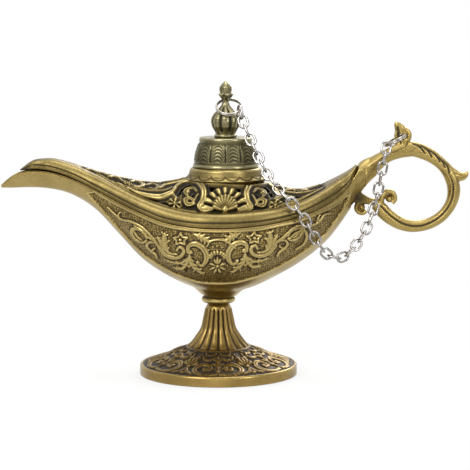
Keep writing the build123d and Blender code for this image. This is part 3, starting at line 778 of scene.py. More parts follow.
def hull_grid():
    """The bowl's outer points, without relief: rows from the lip to the tail, columns from the back rim."""
    x = np.linspace(-FRONT_REACH, REAR_REACH, int((FRONT_REACH + REAR_REACH) / GRID))
    stations = along(HULL_SHARES[:, 0])
    wide, rise, deep = (through(stations, HULL_SHARES[:, k], x)[:, None] for k in (1, 2, 3))
    wide, level, deep = wide * HALF_WIDTH, RIM_HEIGHT + rise * BEAK_RISE, deep * BOWL_DEPTH
    a = np.linspace(pi / 2, -pi / 2, 2 * int(HALF_WIDTH * pi / 2 / GRID) + 1)
    grid = np.stack((x[:, None] + 0 * a, wide * np.sin(a), level - deep * np.cos(a)), -1)
    from_axis = np.hypot(grid[..., 0], grid[..., 1])
    grid[..., 2] -= FOOT_BLEND * (1 - smooth(FOOT_BLEND_FROM, FOOT_BLEND_TO, from_axis)) ** 1.3
    return grid, wide, deep


def panel_mirror(pixel):
    """A pixel's mirror image about the panel's middle, as the camera sees it."""
    away = pixel[0] - PANEL_MIDDLE
    return PANEL_MIDDLE - away, pixel[1] - PANEL_MIRROR_RISE + PANEL_MIRROR_SLANT * away


def star_and_loop():
    """Strokes of the star's outline and the almond loop beside it."""
    x, y, half, tall = STAR_OVAL
    corners = []
    for k in range(2 * STAR_POINTS):
        reach = STAR_NOTCH_SHARE if k % 2 else 1
        t = radians(180 * k / STAR_POINTS - 90)
        corners.append((x + half * reach * cos(t), y + tall * reach * sin(t)))
    strokes = [((a, b), STAR_LINE_HALF, 1, 0) for a, b in zip(corners, corners[1:] + corners[:1])]
    x, y, half, tall = LOOP_OVAL
    loop = [(x + half * cos(t), y + tall * sin(t) + LOOP_SLANT * cos(t)) for t in np.linspace(0.3, 6.1, 14)]
    return strokes + [(loop, (0.5, 0.95, 0.7), 1, 1)]


def hull_relief(chart):
    """The carved panel on one flank: scrolls, leaves, stars and a palmette over a sunk pebbled ground.

    Gives the relief and its fields of height, tone and ground."""
    relief = Relief((-FRONT_REACH, -1), (REAR_REACH + 1, PANEL_RUN))
    for flip in (None, panel_mirror):
        strokes = list(PAIR_STROKES) + star_and_loop()
        draw(relief, chart, ORNAMENT_RISE, strokes, PAIR_LEAVES, dots=PAIR_DOTS, flip=flip)
    strokes = list(SINGLE_STROKES)
    strokes += [(ray, (0.3, 0.72), 1, 0) for ray in rays(*PALMETTE_OVALS, *PALMETTE_PETALS)]
    strokes += [(ray, (0.34, 0.66, 0.3), 1, 0) for ray in rays(*BLOSSOM_OVALS, *BLOSSOM_PETALS)]
    dots = [(BLOSSOM_CENTRE, 0.95, 1)]
    for column in ARCH_DOT_COLUMNS:
        dots.append(((column, ARCH_TOP[1] + ARCH_CURVE * (column - ARCH_TOP[0]) ** 2), 0.42, 0.9))
    draw(relief, chart, ORNAMENT_RISE, strokes, SINGLE_LEAVES, dots=dots)
    field = distance_into(chart.line(PANEL_OUTLINE), *relief.places())
    inside = smooth(-0.1, 0.5, field)
    border = bell(field, -0.35, 0.4) * BORDER_RISE
    ornament = relief.height * inside
    ground = inside * (1 - smooth(0.1, 0.4, ornament))
    around = smooth(0.03, 0.25, blurred(ornament, 3)) * (ornament < 0.25) * inside
    tone = BOWL_TONE - GROUND_LOSS * ground + PROUD_GAIN * smooth(0.3, 0.85, ornament)
    tone += BORDER_GAIN * (border > BORDER_RISE / 2) - AROUND_LOSS * around
    return relief, (ornament - PANEL_DEPTH * inside + border, tone, ground * (1 - 0.6 * around))


def hull():
    """The cast bowl with its carved panels, and the turned collar under it."""
    grid, wide, deep = hull_grid()
    outward = normals_of(grid)
    wall = np.minimum(HULL_WALL, np.minimum(wide, deep) * 0.45)[..., None]
    inner = grid - outward * wall
    inner[..., 2] = np.minimum(inner[..., 2], grid[:, :1, 2])
    run = from_rim(grid)
    places = np.stack((grid[..., 0], run), -1)
    middle = grid.shape[1] // 2
    relief, fields = hull_relief(Chart(grid[:, middle:], places[:, middle:]))
    lift, tone, ground = (relief.read(field, grid[..., 0], run) for field in fields)
    outer = grid + outward * (lift * smooth(0.0, 1.2, run))[..., None]
    outer[:, (0, -1)] = grid[:, (0, -1)]
    # Painted shade in the seam along the rim, where the cover sits on it
    tone -= LIP_SEAM_SHADE * (1 - smooth(0.1, 0.8, run)) * smooth(*TIP_FADE, grid[..., 0])
    # Painted light, lighter towards the bottom of the bowl
    tone += LOW_PAINTED_LIGHT * (1 - smooth(*LOW_FADE, grid[..., 2]))
    bowl = shell(outer, inner, tone, INSIDE_SHADE_TONE, pebble=ground)

    def collar_look(s, a):
        # Painted shade on the collar's upper part, under the bowl
        return 0 * s, BOWL_TONE - COLLAR_UNDER_BOWL_SHADE * smooth(8.9, 9.7, s)

    solid = joined(bowl, turned(HULL_COLLAR_PROFILE, 96, collar_look, step=0.25))
    add_mesh("bowl_cast", solid, body_brass, "hull", "lamp_body")


# The pierced cover: its carving in the photograph's pixels, and its depths in millimetres
SHELL_FOOT = (225.2, 211.5)
SHELL_MIRROR_SLANT = 0.03
# Half spans of the ovals that petals and lines run between, and their first angle, step and count
SHELL_PETAL_HALVES = ((16.6, 20), (20.5, 23.4))
SHELL_PETALS = (-170, 20, 9)
SHELL_LINE_HALVES = ((16.5, 19.6), (22.5, 25.6))
SHELL_LINES = (-160, 20, 8)
SHELL_LINE_HALF = 0.34
FAN_HUB = (225.2, 210)
FAN_TOP = (225.2, 194.5)
FAN_SIDE = (236.7, 208.5)
FAN_CUP = (225.2, 209.9)
FAN_SPREAD = 76
FAN_CURVE = 70
FAN_RIBS = 11
FLANK_STROKES = (
    (((211, 209), (203, 210), (199.4, 207), (202.6, 200), (204, 192), (201.5, 185), (196, 181), (190, 180),
      (184.4, 181), (178, 184.4), (174, 188)), (1.4, 1.9, 2.1, 1.9, 1.0), 1, 2),
    (((174, 188), (172.5, 193), (176, 197)), (1.0, 1.3, 0.8), 0.9, 1),
    (((196, 190), (193, 187), (188, 188), (185, 191), (187, 194.5)), (1.0, 1.4, 1.2), 0.9, 1),
    (((193.5, 203), (187, 204), (185.5, 199), (189.5, 197.5), (193, 200)), (1.2, 1.5, 1.0), 0.95, 1),
    (((193.5, 203), (195.5, 197), (198, 193)), (1.0, 0.8), 0.7, 0),
    (((181, 194), (180, 199), (181, 206)), (0.8, 1.0, 0.8), 0.6, 0),
    (((166, 202), (170, 199), (176, 197), (183, 198)), (0.8, 1.0, 0.8), 0.6, 0),
    (((178, 208.5), (184, 209.8), (195, 211)), 0.9, 0.55, 0),
    (((206, 196), (204, 187), (207, 181), (214, 178.5)), (0.8, 1.1, 0.9), 0.6, 0),
)
FLANK_FLOWERS = (((174.5, 203), 3.3, 0.9, 20),)
FLANK_DOTS = (((188, 191), 1.3, 1),)
RIDGE_STROKES = (
    (((127, 187.5), (138, 192.5), (150, 195.5), (161, 196), (170, 192.5), (176, 188)),
     (0.7, 1.8, 2.3, 2.0, 0.9), 1, 2),
    (((118, 182), (128, 186), (140, 188), (152, 189.5), (164, 189), (172, 186)),
     (0.7, 1.3, 1.2, 0.9), 0.85, 1),
    (((150, 203.5), (160, 202), (168, 200), (172, 196)), (0.5, 0.8, 0.9), 0.5, 0),
    (((86, 168.4), (93, 168.6), (100, 172.6)), (0.6, 1.5, 0.6), 0.95, 1),
    (((97, 171), (104, 170.8), (112, 176.6)), (0.6, 1.8, 0.6), 0.95, 1),
    (((108, 176), (116, 175.6), (124, 181.5)), (0.6, 1.7, 0.6), 0.95, 1),
    (((96, 173), (104, 176.5), (112, 182)), (0.6, 1.0, 0.6), 0.95, 1),
    (((110, 181), (118, 183.4), (128, 189.5)), (0.6, 1.1, 0.6), 0.95, 1),
    (((131, 180.6), (137, 179.6), (142, 182.4), (139, 186), (134, 185.4)), (0.9, 1.3, 0.9), 1, 1),
    (((146, 184), (153, 182.8), (158, 185.6), (154, 188), (149, 187)), (0.9, 1.2, 0.8), 0.9, 1),
    (((160, 187), (166, 183.8), (174, 182), (186, 178.8)), (0.9, 1.4, 1.0), 1, 1),
    (((274, 189.5), (284, 190.5), (296, 192.2), (310, 190.5), (322, 187.5)), (0.9, 1.4, 1.3, 0.7), 0.9, 1),
    (((279, 206), (290, 202.5), (301, 198.5), (311, 193.5), (321, 188.2)), (0.8, 1.5, 1.3, 0.7), 1, 1),
    (((276, 201), (281, 196.5), (288, 195.5), (294, 196.5)), (1.1, 1.3, 0.9), 0.9, 1),
    (((92, 172), (106, 178.5), (120, 186), (134, 194), (150, 202), (166, 207.6), (184, 211.5)),
     0.7, 0.45, 0),
    (((264, 210.5), (280, 207), (298, 202), (312, 195), (322, 188)), 0.7, 0.45, 0),
)
RIDGE_LEAVES = ((((283, 190), (292, 188.8), (301, 189.4), (310, 190)), 1.9, 1, 4),)
RIDGE_FLOWERS = (((127.5, 182.5), 2.6, 0.9, 0),)
# Millimetres: how far the relief runs up from the edge, its ground and rise, how far a web reaches past its
# stroke, and the strip's least height
COVER_RUN = 62
GROUND_DEPTH = 1.5
CARVING_RISE = 0.6
GAP_REACH = 0.85
STRIP_LEAST = 2.0
STRIP_STEPS = 8
BAND_STEPS = 24
VAULT_STEPS = 115
# Where the vault's piercing begins and ends along X, and where it begins outside the collar's seat
PIERCED_SPAN = (-66, -60, 47.5, 50.5)
SEAT_EDGE = (18.6, 20.4)
MOUTH_RADIUS = 15.8
STRIP_GROOVE_DEPTH = 0.32
INK_DEPTH = 0.7
# Tones: the plain cover's, its highest carving's, what lines and grooves take, and the painted shade along
# its lower edge, in the seam on the bowl
COVER_TONE = 0.51
CARVING_TONE = 0.74
INK_LOSS = 0.55
# Painted shade along the cover's lower edge, in the seam on the bowl
EDGE_SEAM_SHADE = 0.5


def cover_grid():
    """The cover's outer points, without relief: rows along, columns from the front edge over the crest."""
    first, last = along(COVER_SHARES[0, 0]), along(COVER_SHARES[-1, 0])
    x = np.linspace(first, last, int((last - first) / GRID))
    stations = along(COVER_SHARES[:, 0])
    curves = [through(stations, column, x) for column in COVER_SHARES.T[1:]]
    wide, rise, _, strip, band, inner, crest = curves
    outer, inner = wide * HALF_WIDTH, inner * HALF_WIDTH
    gap = SEAM_GAP + (MOUTH_GAP - SEAM_GAP) * smooth(MOUTH_END, MOUTH_END + MOUTH_FADE, -x)
    foot = RIM_HEIGHT + rise * BEAK_RISE + gap
    middle, high, top = (RIM_HEIGHT + share * BEAK_RISE for share in (strip, band, crest))
    middle = np.clip(middle, foot + STRIP_LEAST, np.maximum(high - 0.7, foot + 0.5))
    low, far = np.stack((outer, middle), -1), np.stack((inner, high), -1)
    bulge = (low + far) / 2 + BULGE_SHARE * np.stack((high - middle, outer - inner), -1)
    pull = 2 * bulge - (low + far) / 2
    t = np.linspace(0, 1, STRIP_STEPS + 1)[:, None]
    flat = np.stack((outer + 0 * t, foot + (middle - foot) * t), -1)
    t = np.linspace(0, 1, BAND_STEPS + 1)[1:, None, None]
    round_band = low * (1 - t) ** 2 + pull * 2 * t * (1 - t) + far * t ** 2
    a = np.linspace(0, pi / 2, VAULT_STEPS + 1)[1:, None]
    vault = np.stack((inner * np.cos(a), high + np.maximum(top - high, 0.05) * np.sin(a)), -1)
    half = np.vstack((flat, round_band, vault)).transpose(1, 0, 2)
    front = np.stack((np.repeat(x[:, None], half.shape[1], 1), -half[..., 0], half[..., 1]), -1)
    back = front[:, -2::-1] * np.array((1, -1, 1))
    return np.concatenate((front, back), 1)


def shell_mirror(pixel):
    """A pixel's mirror image about the scallop shell, as the camera sees it."""
    away = pixel[0] - SHELL_FOOT[0]
    return SHELL_FOOT[0] - away, pixel[1] - SHELL_MIRROR_SLANT * away


def scallop(relief, chart, rise):
    """The scallop shell: a ribbed inner fan in a ring of fat petals, with a cup at its foot."""
    near, far = ((*SHELL_FOOT, *halves) for halves in SHELL_PETAL_HALVES)
    petals = [(ray, (1.3, 1.85), 0.95, 0) for ray in rays(near, far, *SHELL_PETALS)]
    draw(relief, chart, rise, petals, dots=[(FAN_CUP, 1.7, 1.1)])
    hub, top, side = chart.line((FAN_HUB, FAN_TOP, FAN_SIDE))
    tall, half = top[1] - hub[1], abs(side[0] - hub[0])

    def fan(share, *reaches):
        """A line in the inner fan: share runs from side to side, reach from the hub to the edge."""
        t = radians(FAN_SPREAD * sin(radians(FAN_CURVE * share)) / sin(radians(FAN_CURVE)))
        return [hub + np.array((half * sin(t), tall * cos(t))) * reach for reach in reaches]

    for share in np.linspace(-1, 1, FAN_RIBS):
        relief.stroke(fan(share, 0.12, 0.9), (0.7, 1.5, 1.75), rise * 1.05)
    for share in np.linspace(-0.9, 0.9, FAN_RIBS - 1):
        relief.line(fan(share, 0.25, 1.04), SHELL_LINE_HALF)
    near, far = ((*SHELL_FOOT, *halves) for halves in SHELL_LINE_HALVES)
    for ray in rays(near, far, *SHELL_LINES):
        relief.line(chart.line(ray), SHELL_LINE_HALF)


def cover_relief(chart):
    """The pierced scrollwork on one flank: a scallop shell between ridged scrolls, flowers and leaves."""
    relief = Relief((-FRONT_REACH, -1), (REAR_REACH + 4, COVER_RUN))
    rise = CARVING_RISE + GROUND_DEPTH
    scallop(relief, chart, rise)
    for flip in (None, shell_mirror):
        draw(relief, chart, rise, FLANK_STROKES, (), FLANK_FLOWERS, FLANK_DOTS, flip)
    draw(relief, chart, rise, RIDGE_STROKES, RIDGE_LEAVES, RIDGE_FLOWERS)
    return relief


def cover():
    """The cast cover, carved and cut through between its scrolls."""
    grid = cover_grid()
    outward = normals_of(grid)
    run = from_rim(grid)
    middle = grid.shape[1] // 2
    edge = STRIP_STEPS + BAND_STEPS
    places = np.stack((grid[..., 0], run), -1)
    relief = cover_relief(Chart(grid[:, :middle + 1], places[:, :middle + 1]))
    fields = (blurred(relief.height, 1), blurred(relief.ink, 1), relief.cover)
    lift, ink, reach = (relief.read(field, grid[..., 0], run) for field in fields)
    columns = middle - np.abs(np.arange(grid.shape[1]) - middle)
    past_band = run - run[:, edge:edge + 1]
    from_axis = np.hypot(grid[..., 0] - TOP_OFFSET, grid[..., 1])
    pierced = smooth(0.0, 0.9, past_band) * (columns >= edge) * smooth(*SEAT_EDGE, from_axis)
    pierced *= between(grid[..., 0], *PIERCED_SPAN)
    groove = bell(run, run[:, STRIP_STEPS:STRIP_STEPS + 1], 0.35) * (columns < edge)
    carved = np.maximum(lift - INK_DEPTH * ink, 0.3 * lift) - GROUND_DEPTH
    outer = grid + outward * (pierced * carved - STRIP_GROOVE_DEPTH * groove)[..., None]
    outer[:, 1:-1, 1] = np.where(np.abs(outer[:, 1:-1, 1]) < 0.001, 0, outer[:, 1:-1, 1])
    wide = np.abs(grid[:, 0, 1])
    inner = grid - outward * np.minimum(COVER_WALL + 0.5, wide * 0.4)[:, None, None]
    edge_wall = np.minimum(COVER_WALL, wide * 0.5)
    inner[:, 0] = grid[:, 0] + np.outer(edge_wall, (0, 1, 0))
    inner[:, -1] = grid[:, -1] - np.outer(edge_wall, (0, 1, 0))
    keep = np.where((pierced > 0.9) & (past_band >= 1.2), reach + GAP_REACH, 5.0)
    keep = np.minimum(keep, from_axis - MOUTH_RADIUS)
    keep = np.where(np.abs(keep) < 0.02, 0.02, keep)
    tone = COVER_TONE + pierced * (CARVING_TONE * smooth(0.7, 1.9, lift) - COVER_TONE - INK_LOSS * ink)
    # Grooves are darkened, and painted shade is put along the lower edge, in the seam on the bowl
    tone -= INK_LOSS * groove + EDGE_SEAM_SHADE * (1 - smooth(0.1, 0.6, run))
    solid = shell(outer, inner, tone, INSIDE_SHADE_TONE, keep=keep)
    add_mesh("cover_cast", solid, relief_brass, "cover", "cover_assembly", wear=0.7)


# The collar
COLLAR_PROFILE = (
    (15.4, 89.5), (18.4, 91.2), (19.2, 92.4), (18.4, 93.0), (17.4, 94.0), (16.9, 95.4), (16.6, 96.6),
    (15.9, 97.3), (14.4, 97.3), (13.4, 96.9), (13.4, 87.4), (15.4, 87.4), (15.4, 89.5),
)
SCALLOPS = 16
SCALLOP_DEPTH = 0.28
SCALLOP_LOSS = 0.448
COLLAR_TONE = 0.56
# Painted shade under the collar's flared foot
COLLAR_FOOT_SHADE = 0.30


def collar():
    """The turned collar, with a scalloped line cut round its foot."""
    def look(s, a):
        across = (a * SCALLOPS / (2 * pi)) % 1 - 0.5
        line = bell(s, 5.4 + 2.0 * np.abs(2 * across) ** 2, 0.32)
        # The scalloped line is darkened in its cut, and the flared foot gets painted shade on its underside
        tone = COLLAR_TONE - SCALLOP_LOSS * line - COLLAR_FOOT_SHADE * (1 - smooth(4.2, 5.6, s))
        return -SCALLOP_DEPTH * line, tone

    solid = turned(COLLAR_PROFILE, 240, look, centre=AXIS)
    add_mesh("collar_turned", solid, relief_brass, "cover_collar", "cover_assembly")


# The cap: outline shares are of its lip's radius and of its height
CAP_PLUG = 3.2
CAP_HOLLOW_HEIGHT = 9.5
CAP_BORE = 11.65
CAP_PLUG_RADII = (12.9, 13.15)
CAP_PANELS = 12
CAP_TONE = 0.56
CAP_ARCH_LINES = 5.4
CAP_SHARES = (
    (1, 0), (1, .05), (.985, .10), (.955, .125), (.955, .17), (.965, .19), (.962, .30), (.945, .42),
    (.918, .54), (.88, .66), (.835, .76), (.79, .82), (.80, .85), (.805, .90), (.80, .97), (.77, 1),
    (.30, 1.0), (.02, 1.0),
)
# Rows of the outline where the drum's panels start and end
CAP_DRUM_START, CAP_DRUM_END = 5, 11


def cap():
    """The hollow cap, with arched and veined panels round its drum."""
    low, high = box_mm("cap")
    foot, lip = low[2] + CAP_PLUG, high[0] - TOP_OFFSET
    outline = [(lip * out, foot + (high[2] - foot) * up) for out, up in CAP_SHARES]
    bevelled, full = CAP_PLUG_RADII
    inside = [(PIN, foot + CAP_HOLLOW_HEIGHT), (CAP_BORE, foot + CAP_HOLLOW_HEIGHT), (CAP_BORE, low[2]),
              (bevelled, low[2]), (full, low[2] + 0.3), (full, foot)]
    lengths = lengths_of(inside + outline)[len(inside):]
    start, end = lengths[CAP_DRUM_START], lengths[CAP_DRUM_END]

    def look(s, a):
        t = (s - start) / (end - start)
        across = np.abs((a * CAP_PANELS / (2 * pi)) % 1 - 0.5) * 2
        shown = between(t, 0.0, 0.05, 0.95, 1.0)
        arch = t + 0.52 * across ** 2.4
        rib = smooth(0.88, 0.97, across) * (1 - smooth(0.55, 0.9, t))
        lines = (0.5 + 0.5 * np.cos(2 * pi * (arch * CAP_ARCH_LINES - 0.35))) * (1 - rib)
        vein = between(arch, 1.02, 1.12, 1.2, 1.3)
        lift = shown * (0.26 * lines - 0.40 * rib + 0.15 * vein - 0.25)
        return lift, CAP_TONE - shown * (0.30 - 0.27 * lines + 0.25 * rib - 0.10 * vein)

    solid = turned(inside + outline, 300, look, centre=AXIS)
    add_mesh("cap_cast", solid, cap_brass, "cap", "cap_assembly", wear=1.0)


# The finial: outline shares are of its base's radius and of its height
FINIAL_BASE = 5.3
FINIAL_TONE = 0.70
# Ribs of its bulb, petals of its cup and leaves of its bud
FINIAL_COUNTS = (8, 5, 4)
FINIAL_SHARES = (
    (.02, .002), (.95, .002), (1, .02), (1, .04), (.86, .06), (1, .12), (1.21, .19), (1.30, .28),
    (1.24, .35), (1.06, .41), (.72, .485), (.38, .565), (.27, .62), (.30, .66), (.52, .72), (.66, .763),
    (.48, .785), (.54, .83), (.52, .89), (.32, .95), (.02, 1),
)


def finial():
    """The finial: a ribbed bulb, a thin neck, a cup of petals and a bud."""
    low, high = box_mm("finial")
    profile = [(FINIAL_BASE * out, low[2] + (high[2] - low[2]) * up) for out, up in FINIAL_SHARES]
    lengths = lengths_of(profile)

    def look(s, a):
        bulb = between(s, lengths[4], lengths[5], lengths[10], lengths[12])
        cup = between(s, lengths[13], lengths[14], lengths[15], lengths[16] + 0.4)
        bud = between(s, *lengths[16:20])
        rib, petal, leaf = (np.abs(np.cos(a * count / 2)) for count in FINIAL_COUNTS)
        lift = bulb * (rib ** 0.55 - 1) + cup * (petal - 0.7) * 0.8 + bud * (leaf - 0.8) * 0.4
        tone = FINIAL_TONE - bulb * 0.62 * (1 - smooth(0.15, 0.65, rib))
        return lift, tone - cup * 0.25 * (1 - petal) - bud * 0.2 * (1 - leaf)

    solid = turned(profile, 160, look, step=0.3, centre=AXIS)
    add_mesh("finial_cast", solid, cap_brass, "finial", "cap_assembly", wear=1.0)


# The pedestal: outline shares are of its foot's radius and of its height, and its carving is in millimetres
# across from the middle of a sector and up from the rim
RIM_SHARES = ((1, 0.002), (1, .125), (.985, .143))
SLOPE_SHARES = ((.965, .15), (.86, .19), (.73, .234), (.605, .305), (.478, .356), (.405, .39))
STEM_SHARES = ((.405, .39), (.352, .44), (.29, .53), (.224, .647), (.20, .76), (.178, .87), (.168, .93))
STEM_TOP_SHARES = ((.150, .955), (.124, 1), (.01, 1))
HOLLOW_SHARES = (
    (.01, .60), (.15, .60), (.165, .56), (.215, .46), (.30, .36), (.40, .30), (.52, .235), (.66, .17),
    (.80, .115), (.895, .085), (.905, 0.002),
)
PEDESTAL_TONE = 0.58
RECESS_LOSS = 0.52
HOLLOW_TONE = 0.2
FLUTES = 18
FLUTE_DEPTH = 1.1
SECTORS = 6
CARVING_RADIUS = 26.0
FOOT_RISE = 0.9
SECTOR_STROKES = (
    (((1.0, 0.9), (4.6, 0.2), (8.4, 2.2), (9.6, 6.6), (7.0, 9.8), (3.8, 8.8), (3.4, 5.6), (5.6, 4.8)),
     (0.9, 1.3, 1.3, 0.8), 0.9),
    (((9.8, 0.9), (12.2, 2.6), (13.2, 5.6)), (0.7, 1.0, 0.6), 0.8),
    (((1.6, 18.8), (4.4, 17.4), (7.6, 18.2), (9.2, 20.4)), (0.8, 1.0, 0.6), 0.8),
    (((1.4, 15.6), (4.2, 13.4), (7.6, 13.8), (8.6, 16.0), (6.8, 17.2)), (0.7, 1.0, 0.6), 0.8),
)
SIDE_LEAF = ((9.4, 9.0), (11.2, 11.6), (11.6, 15.0), (10.0, 18.6))
MIDDLE_LEAF = ((0, 2.4), (0, 8.0), (0, 13.6), (0, 17.6))
CURL_DOT = (5.6, 6.4)


def foot_relief(width, length):
    """One sector of the foot's carving: a pair of C-scrolls about a leaf, with fans between them."""
    relief = Relief((0, 0), (width, length), cell=0.12)
    low = length - 1.0

    def motif(centre, side):
        def at(points):
            return [(centre + side * x, low - y) for x, y in points]

        for points, widths, lift in SECTOR_STROKES:
            relief.stroke(at(points), widths, lift, grooves=1)
        relief.leaf(at(SIDE_LEAF), 1.8, 0.8, 3)
        relief.dot(at((CURL_DOT,))[0], 1.1, FOOT_RISE)
        relief.leaf(at(MIDDLE_LEAF), 2.6, FOOT_RISE, 4)

    for middle in (-width / 2, width / 2, 3 * width / 2):
        for side in (-1, 1):
            motif(middle, side)
        between = middle + width / 2
        for k in range(5):
            turn = radians(-64 + 32 * k)
            root = (between + 1.3 * sin(turn), low - 8.2 - 1.1 * cos(turn))
            tip = (between + 3.6 * sin(turn), low - 8.2 - 4.6 * cos(turn))
            relief.stroke((root, tip), (0.4, 1.0), 0.8)
        relief.dot((between, low - 7.6), 1.2, FOOT_RISE)
        relief.dot((between, low - 1.6), 1.0, 0.8)
    return relief


def pedestal():
    """The pedestal: a hollow foot with a plain rim and a carved slope, and a fluted stem."""
    high = box_mm("pedestal")[1]

    def sized(shares):
        return [(high[0] * out, high[2] * up) for out, up in shares]

    under, rim = sized(HOLLOW_SHARES), sized(RIM_SHARES)
    slope = spline(sized(SLOPE_SHARES), 1.0)[0].tolist()
    stem = spline(sized(STEM_SHARES), 1.0)[0].tolist()
    profile = under + rim + slope[:-1] + stem + sized(STEM_TOP_SHARES)
    lengths = lengths_of(profile)[len(under):]
    rim_end = lengths[len(rim)]
    slope_end = lengths[len(rim) + len(slope) - 1]
    stem_end = lengths[len(rim) + len(slope) + len(stem) - 2]
    carve_from = rim_end + 0.2
    length = slope_end - carve_from
    width = 2 * pi * CARVING_RADIUS / SECTORS
    relief = foot_relief(width, length)

    def look(s, a):
        shown = between(s, carve_from - 0.4, carve_from + 0.2, slope_end - 1.2, slope_end)
        down = np.clip(slope_end - s, 0, length)
        carving = relief.read(relief.height, (-a * CARVING_RADIUS) % width, down) * shown
        fluted = between(s, slope_end, slope_end + 1.2, stem_end - 0.8, stem_end + 0.2)
        wave = np.abs(np.cos(a * FLUTES / 2)) ** 0.6
        rings = bell(s, stem_end, 0.35) + bell(s, slope_end + 0.6, 0.4) + bell(s, rim_end, 0.3)
        lift = carving * 0.8 - 0.6 * shown - FLUTE_DEPTH * fluted * (1 - wave) - 0.25 * rings
        tone = PEDESTAL_TONE - RECESS_LOSS * shown + 0.46 * smooth(0.25, 0.85, carving)
        tone -= RECESS_LOSS * fluted * (1 - smooth(0.3, 0.9, wave))
        tone -= 0.3 * bell(s, rim_end, 0.5) + 0.25 * bell(s, slope_end, 0.8)
        return lift, np.where(s < lengths[0], HOLLOW_TONE, tone)

    solid = turned(profile, 540, look, step=0.36)
    add_mesh("pedestal_cast", solid, foot_brass, "pedestal", "lamp_body", wear=1.0)


# The handle: edges of its parts in the photograph's pixels, as (outer, inner) pairs
NECK_EDGES = (((366, 160.4), (365, 187)), ((371, 157), (369.5, 181)), ((380, 152), (380, 170.5)),
              ((390, 147), (390, 161.8)), ((400, 142.8), (401, 158)), ((412, 141.5), (412, 156.5)))
RING_EDGES = (((404, 142), (405, 157.3)), ((412, 141.5), (412, 156.5)), ((421, 143.5), (419, 158.3)),
              ((434.8, 150.5), (430, 163)), ((444.4, 158.8), (437.5, 168.5)), ((452.5, 168.5), (442.5, 175)),
              ((458.3, 178.5), (446, 183)), ((460.3, 190), (447.3, 190.5)), ((458.5, 200), (446.5, 198.5)),
              ((453, 211), (441.5, 208)), ((443.5, 221.5), (434.5, 214.5)), ((429, 229.3), (425, 218.8)),
              ((411, 232), (414, 220.2)), ((398, 229.3), (404, 218)), ((386.5, 223.3), (395, 212.5)),
              ((378, 216.3), (387, 205.5)), ((371.5, 208), (380.5, 200)))
TAIL_EDGES = (((438, 153), (436, 164)), ((447.5, 161.5), (444, 175)), ((454.5, 168.2), (454, 180.5)),
              ((460.7, 171.8), (461, 181)), ((465, 172.2), (465, 179.6)), ((468.6, 170.6), (467.8, 176.6)))
THUMB_ROOT_EDGES = (((393, 150), (411, 146)), ((394.6, 145), (408.6, 143)), ((395.3, 141.2), (407.6, 140.8)))
THUMB_TIP_EDGES = (((395.4, 133.6), (408.4, 134)), ((394.8, 129.6), (407.4, 130)),
                   ((394.2, 126.2), (405, 126.6)), ((394.2, 123.6), (401.6, 123.6)),
                   ((395.4, 121.8), (398.6, 121.8)))
THUMB_SIDE_EDGES = (((395, 142), (399.4, 142)), ((395.3, 136), (398.7, 136)), ((395.4, 131), (399.2, 131)))
ARM_EDGES = (((355, 186), (355, 203)), ((361, 192), (361, 204)), ((369, 197), (369, 204.6)),
             ((379, 199), (379, 209)))
CURL_LINE = ((383, 213.5), (381, 204), (382.4, 196.4), (386.4, 191.8), (391.4, 191.8), (394.4, 195.4),
             (394.6, 199.8), (392, 202.8))
CURL_BALL = (389.2, 198.6)
SCROLL_LINE = ((386, 208), (378, 203), (369, 200.6), (362, 201.4), (357.2, 204.6), (356.4, 209),
               (359.2, 212.4), (363.6, 212.8), (366.6, 210))
SCROLL_BALL = (361.8, 207.2)
# Each bar's edges and its half widths across the handle's plane, in millimetres
BARS = (
    (NECK_EDGES, (5.4, 4.7, 4.1, 3.8, 3.5, 3.4)), (RING_EDGES, (3.4, 3.3, 3.1, 3.0)),
    (TAIL_EDGES, (2.4, 2.8, 2.4, 2.0, 1.7)), (THUMB_ROOT_EDGES, (3.0, 2.0, 1.7)),
    (THUMB_TIP_EDGES, (2.0, 1.9, 1.6, 1.3, 0.9)), (ARM_EDGES, (2.6, 2.1, 2.0)),
    (THUMB_SIDE_EDGES, (1.9, 1.8)),
)
# Each curl's line, half thicknesses and half width, and its end ball's centre, radius and half width
CURLS = (
    (CURL_LINE, (1.9, 1.5, 1.3, 1.2, 1.1), 2.5, CURL_BALL, 1.75, 2.9),
    (SCROLL_LINE, (1.6, 1.5, 1.2, 1.1, 1.0), 2.3, SCROLL_BALL, 1.6, 2.7),
)
# Grooves as (pixels along the line, half widths in millimetres, share of the depth), and the leaves' grooves
HANDLE_GROOVES = (
    (((448.5, 173), (453, 184.6), (452, 198), (446, 210), (434, 220.6), (420.5, 225.8), (406, 224.6),
      (391.8, 216.6), (381, 206)), (0.3, 0.65, 0.7, 0.7, 0.6), 1.0),
    (((441.5, 170), (448.6, 180), (449, 195), (443, 207), (430, 217.6), (415, 221), (400, 217.4)), 0.3, 0.5),
    (((455, 172.6), (461, 175.4), (466, 174)), (0.3, 0.4, 0.2), 0.6),
    (((397.6, 127.4), (398, 132.6), (399, 138), (401, 143)), (0.6, 1.15, 1.0, 0.4), 1.0),
    (((378, 160.6), (388, 154.4), (398, 150.2), (405, 146.4), (407.6, 142)), (0.2, 0.42, 0.35), 0.7),
)
LEAF_GROOVES = (
    ((413, 143.2), (419.6, 146.2), (424.6, 153.4)), ((421.4, 145.2), (428, 150), (431.6, 157.2)),
    ((429, 149.6), (436, 154.6), (439.8, 161.8)), ((436.4, 155), (442.4, 160.8), (445, 167.6)),
    ((443.4, 160.6), (447.8, 165.6), (449.4, 172.6)),
)
LEAF_GROOVE_HALVES = (0.5, 0.75, 0.45)
LEAF_GROOVE_SHARE = 1.1
NECK_RIDGE = ((365, 167.5), (374, 162), (384, 156), (395, 151), (404, 148))
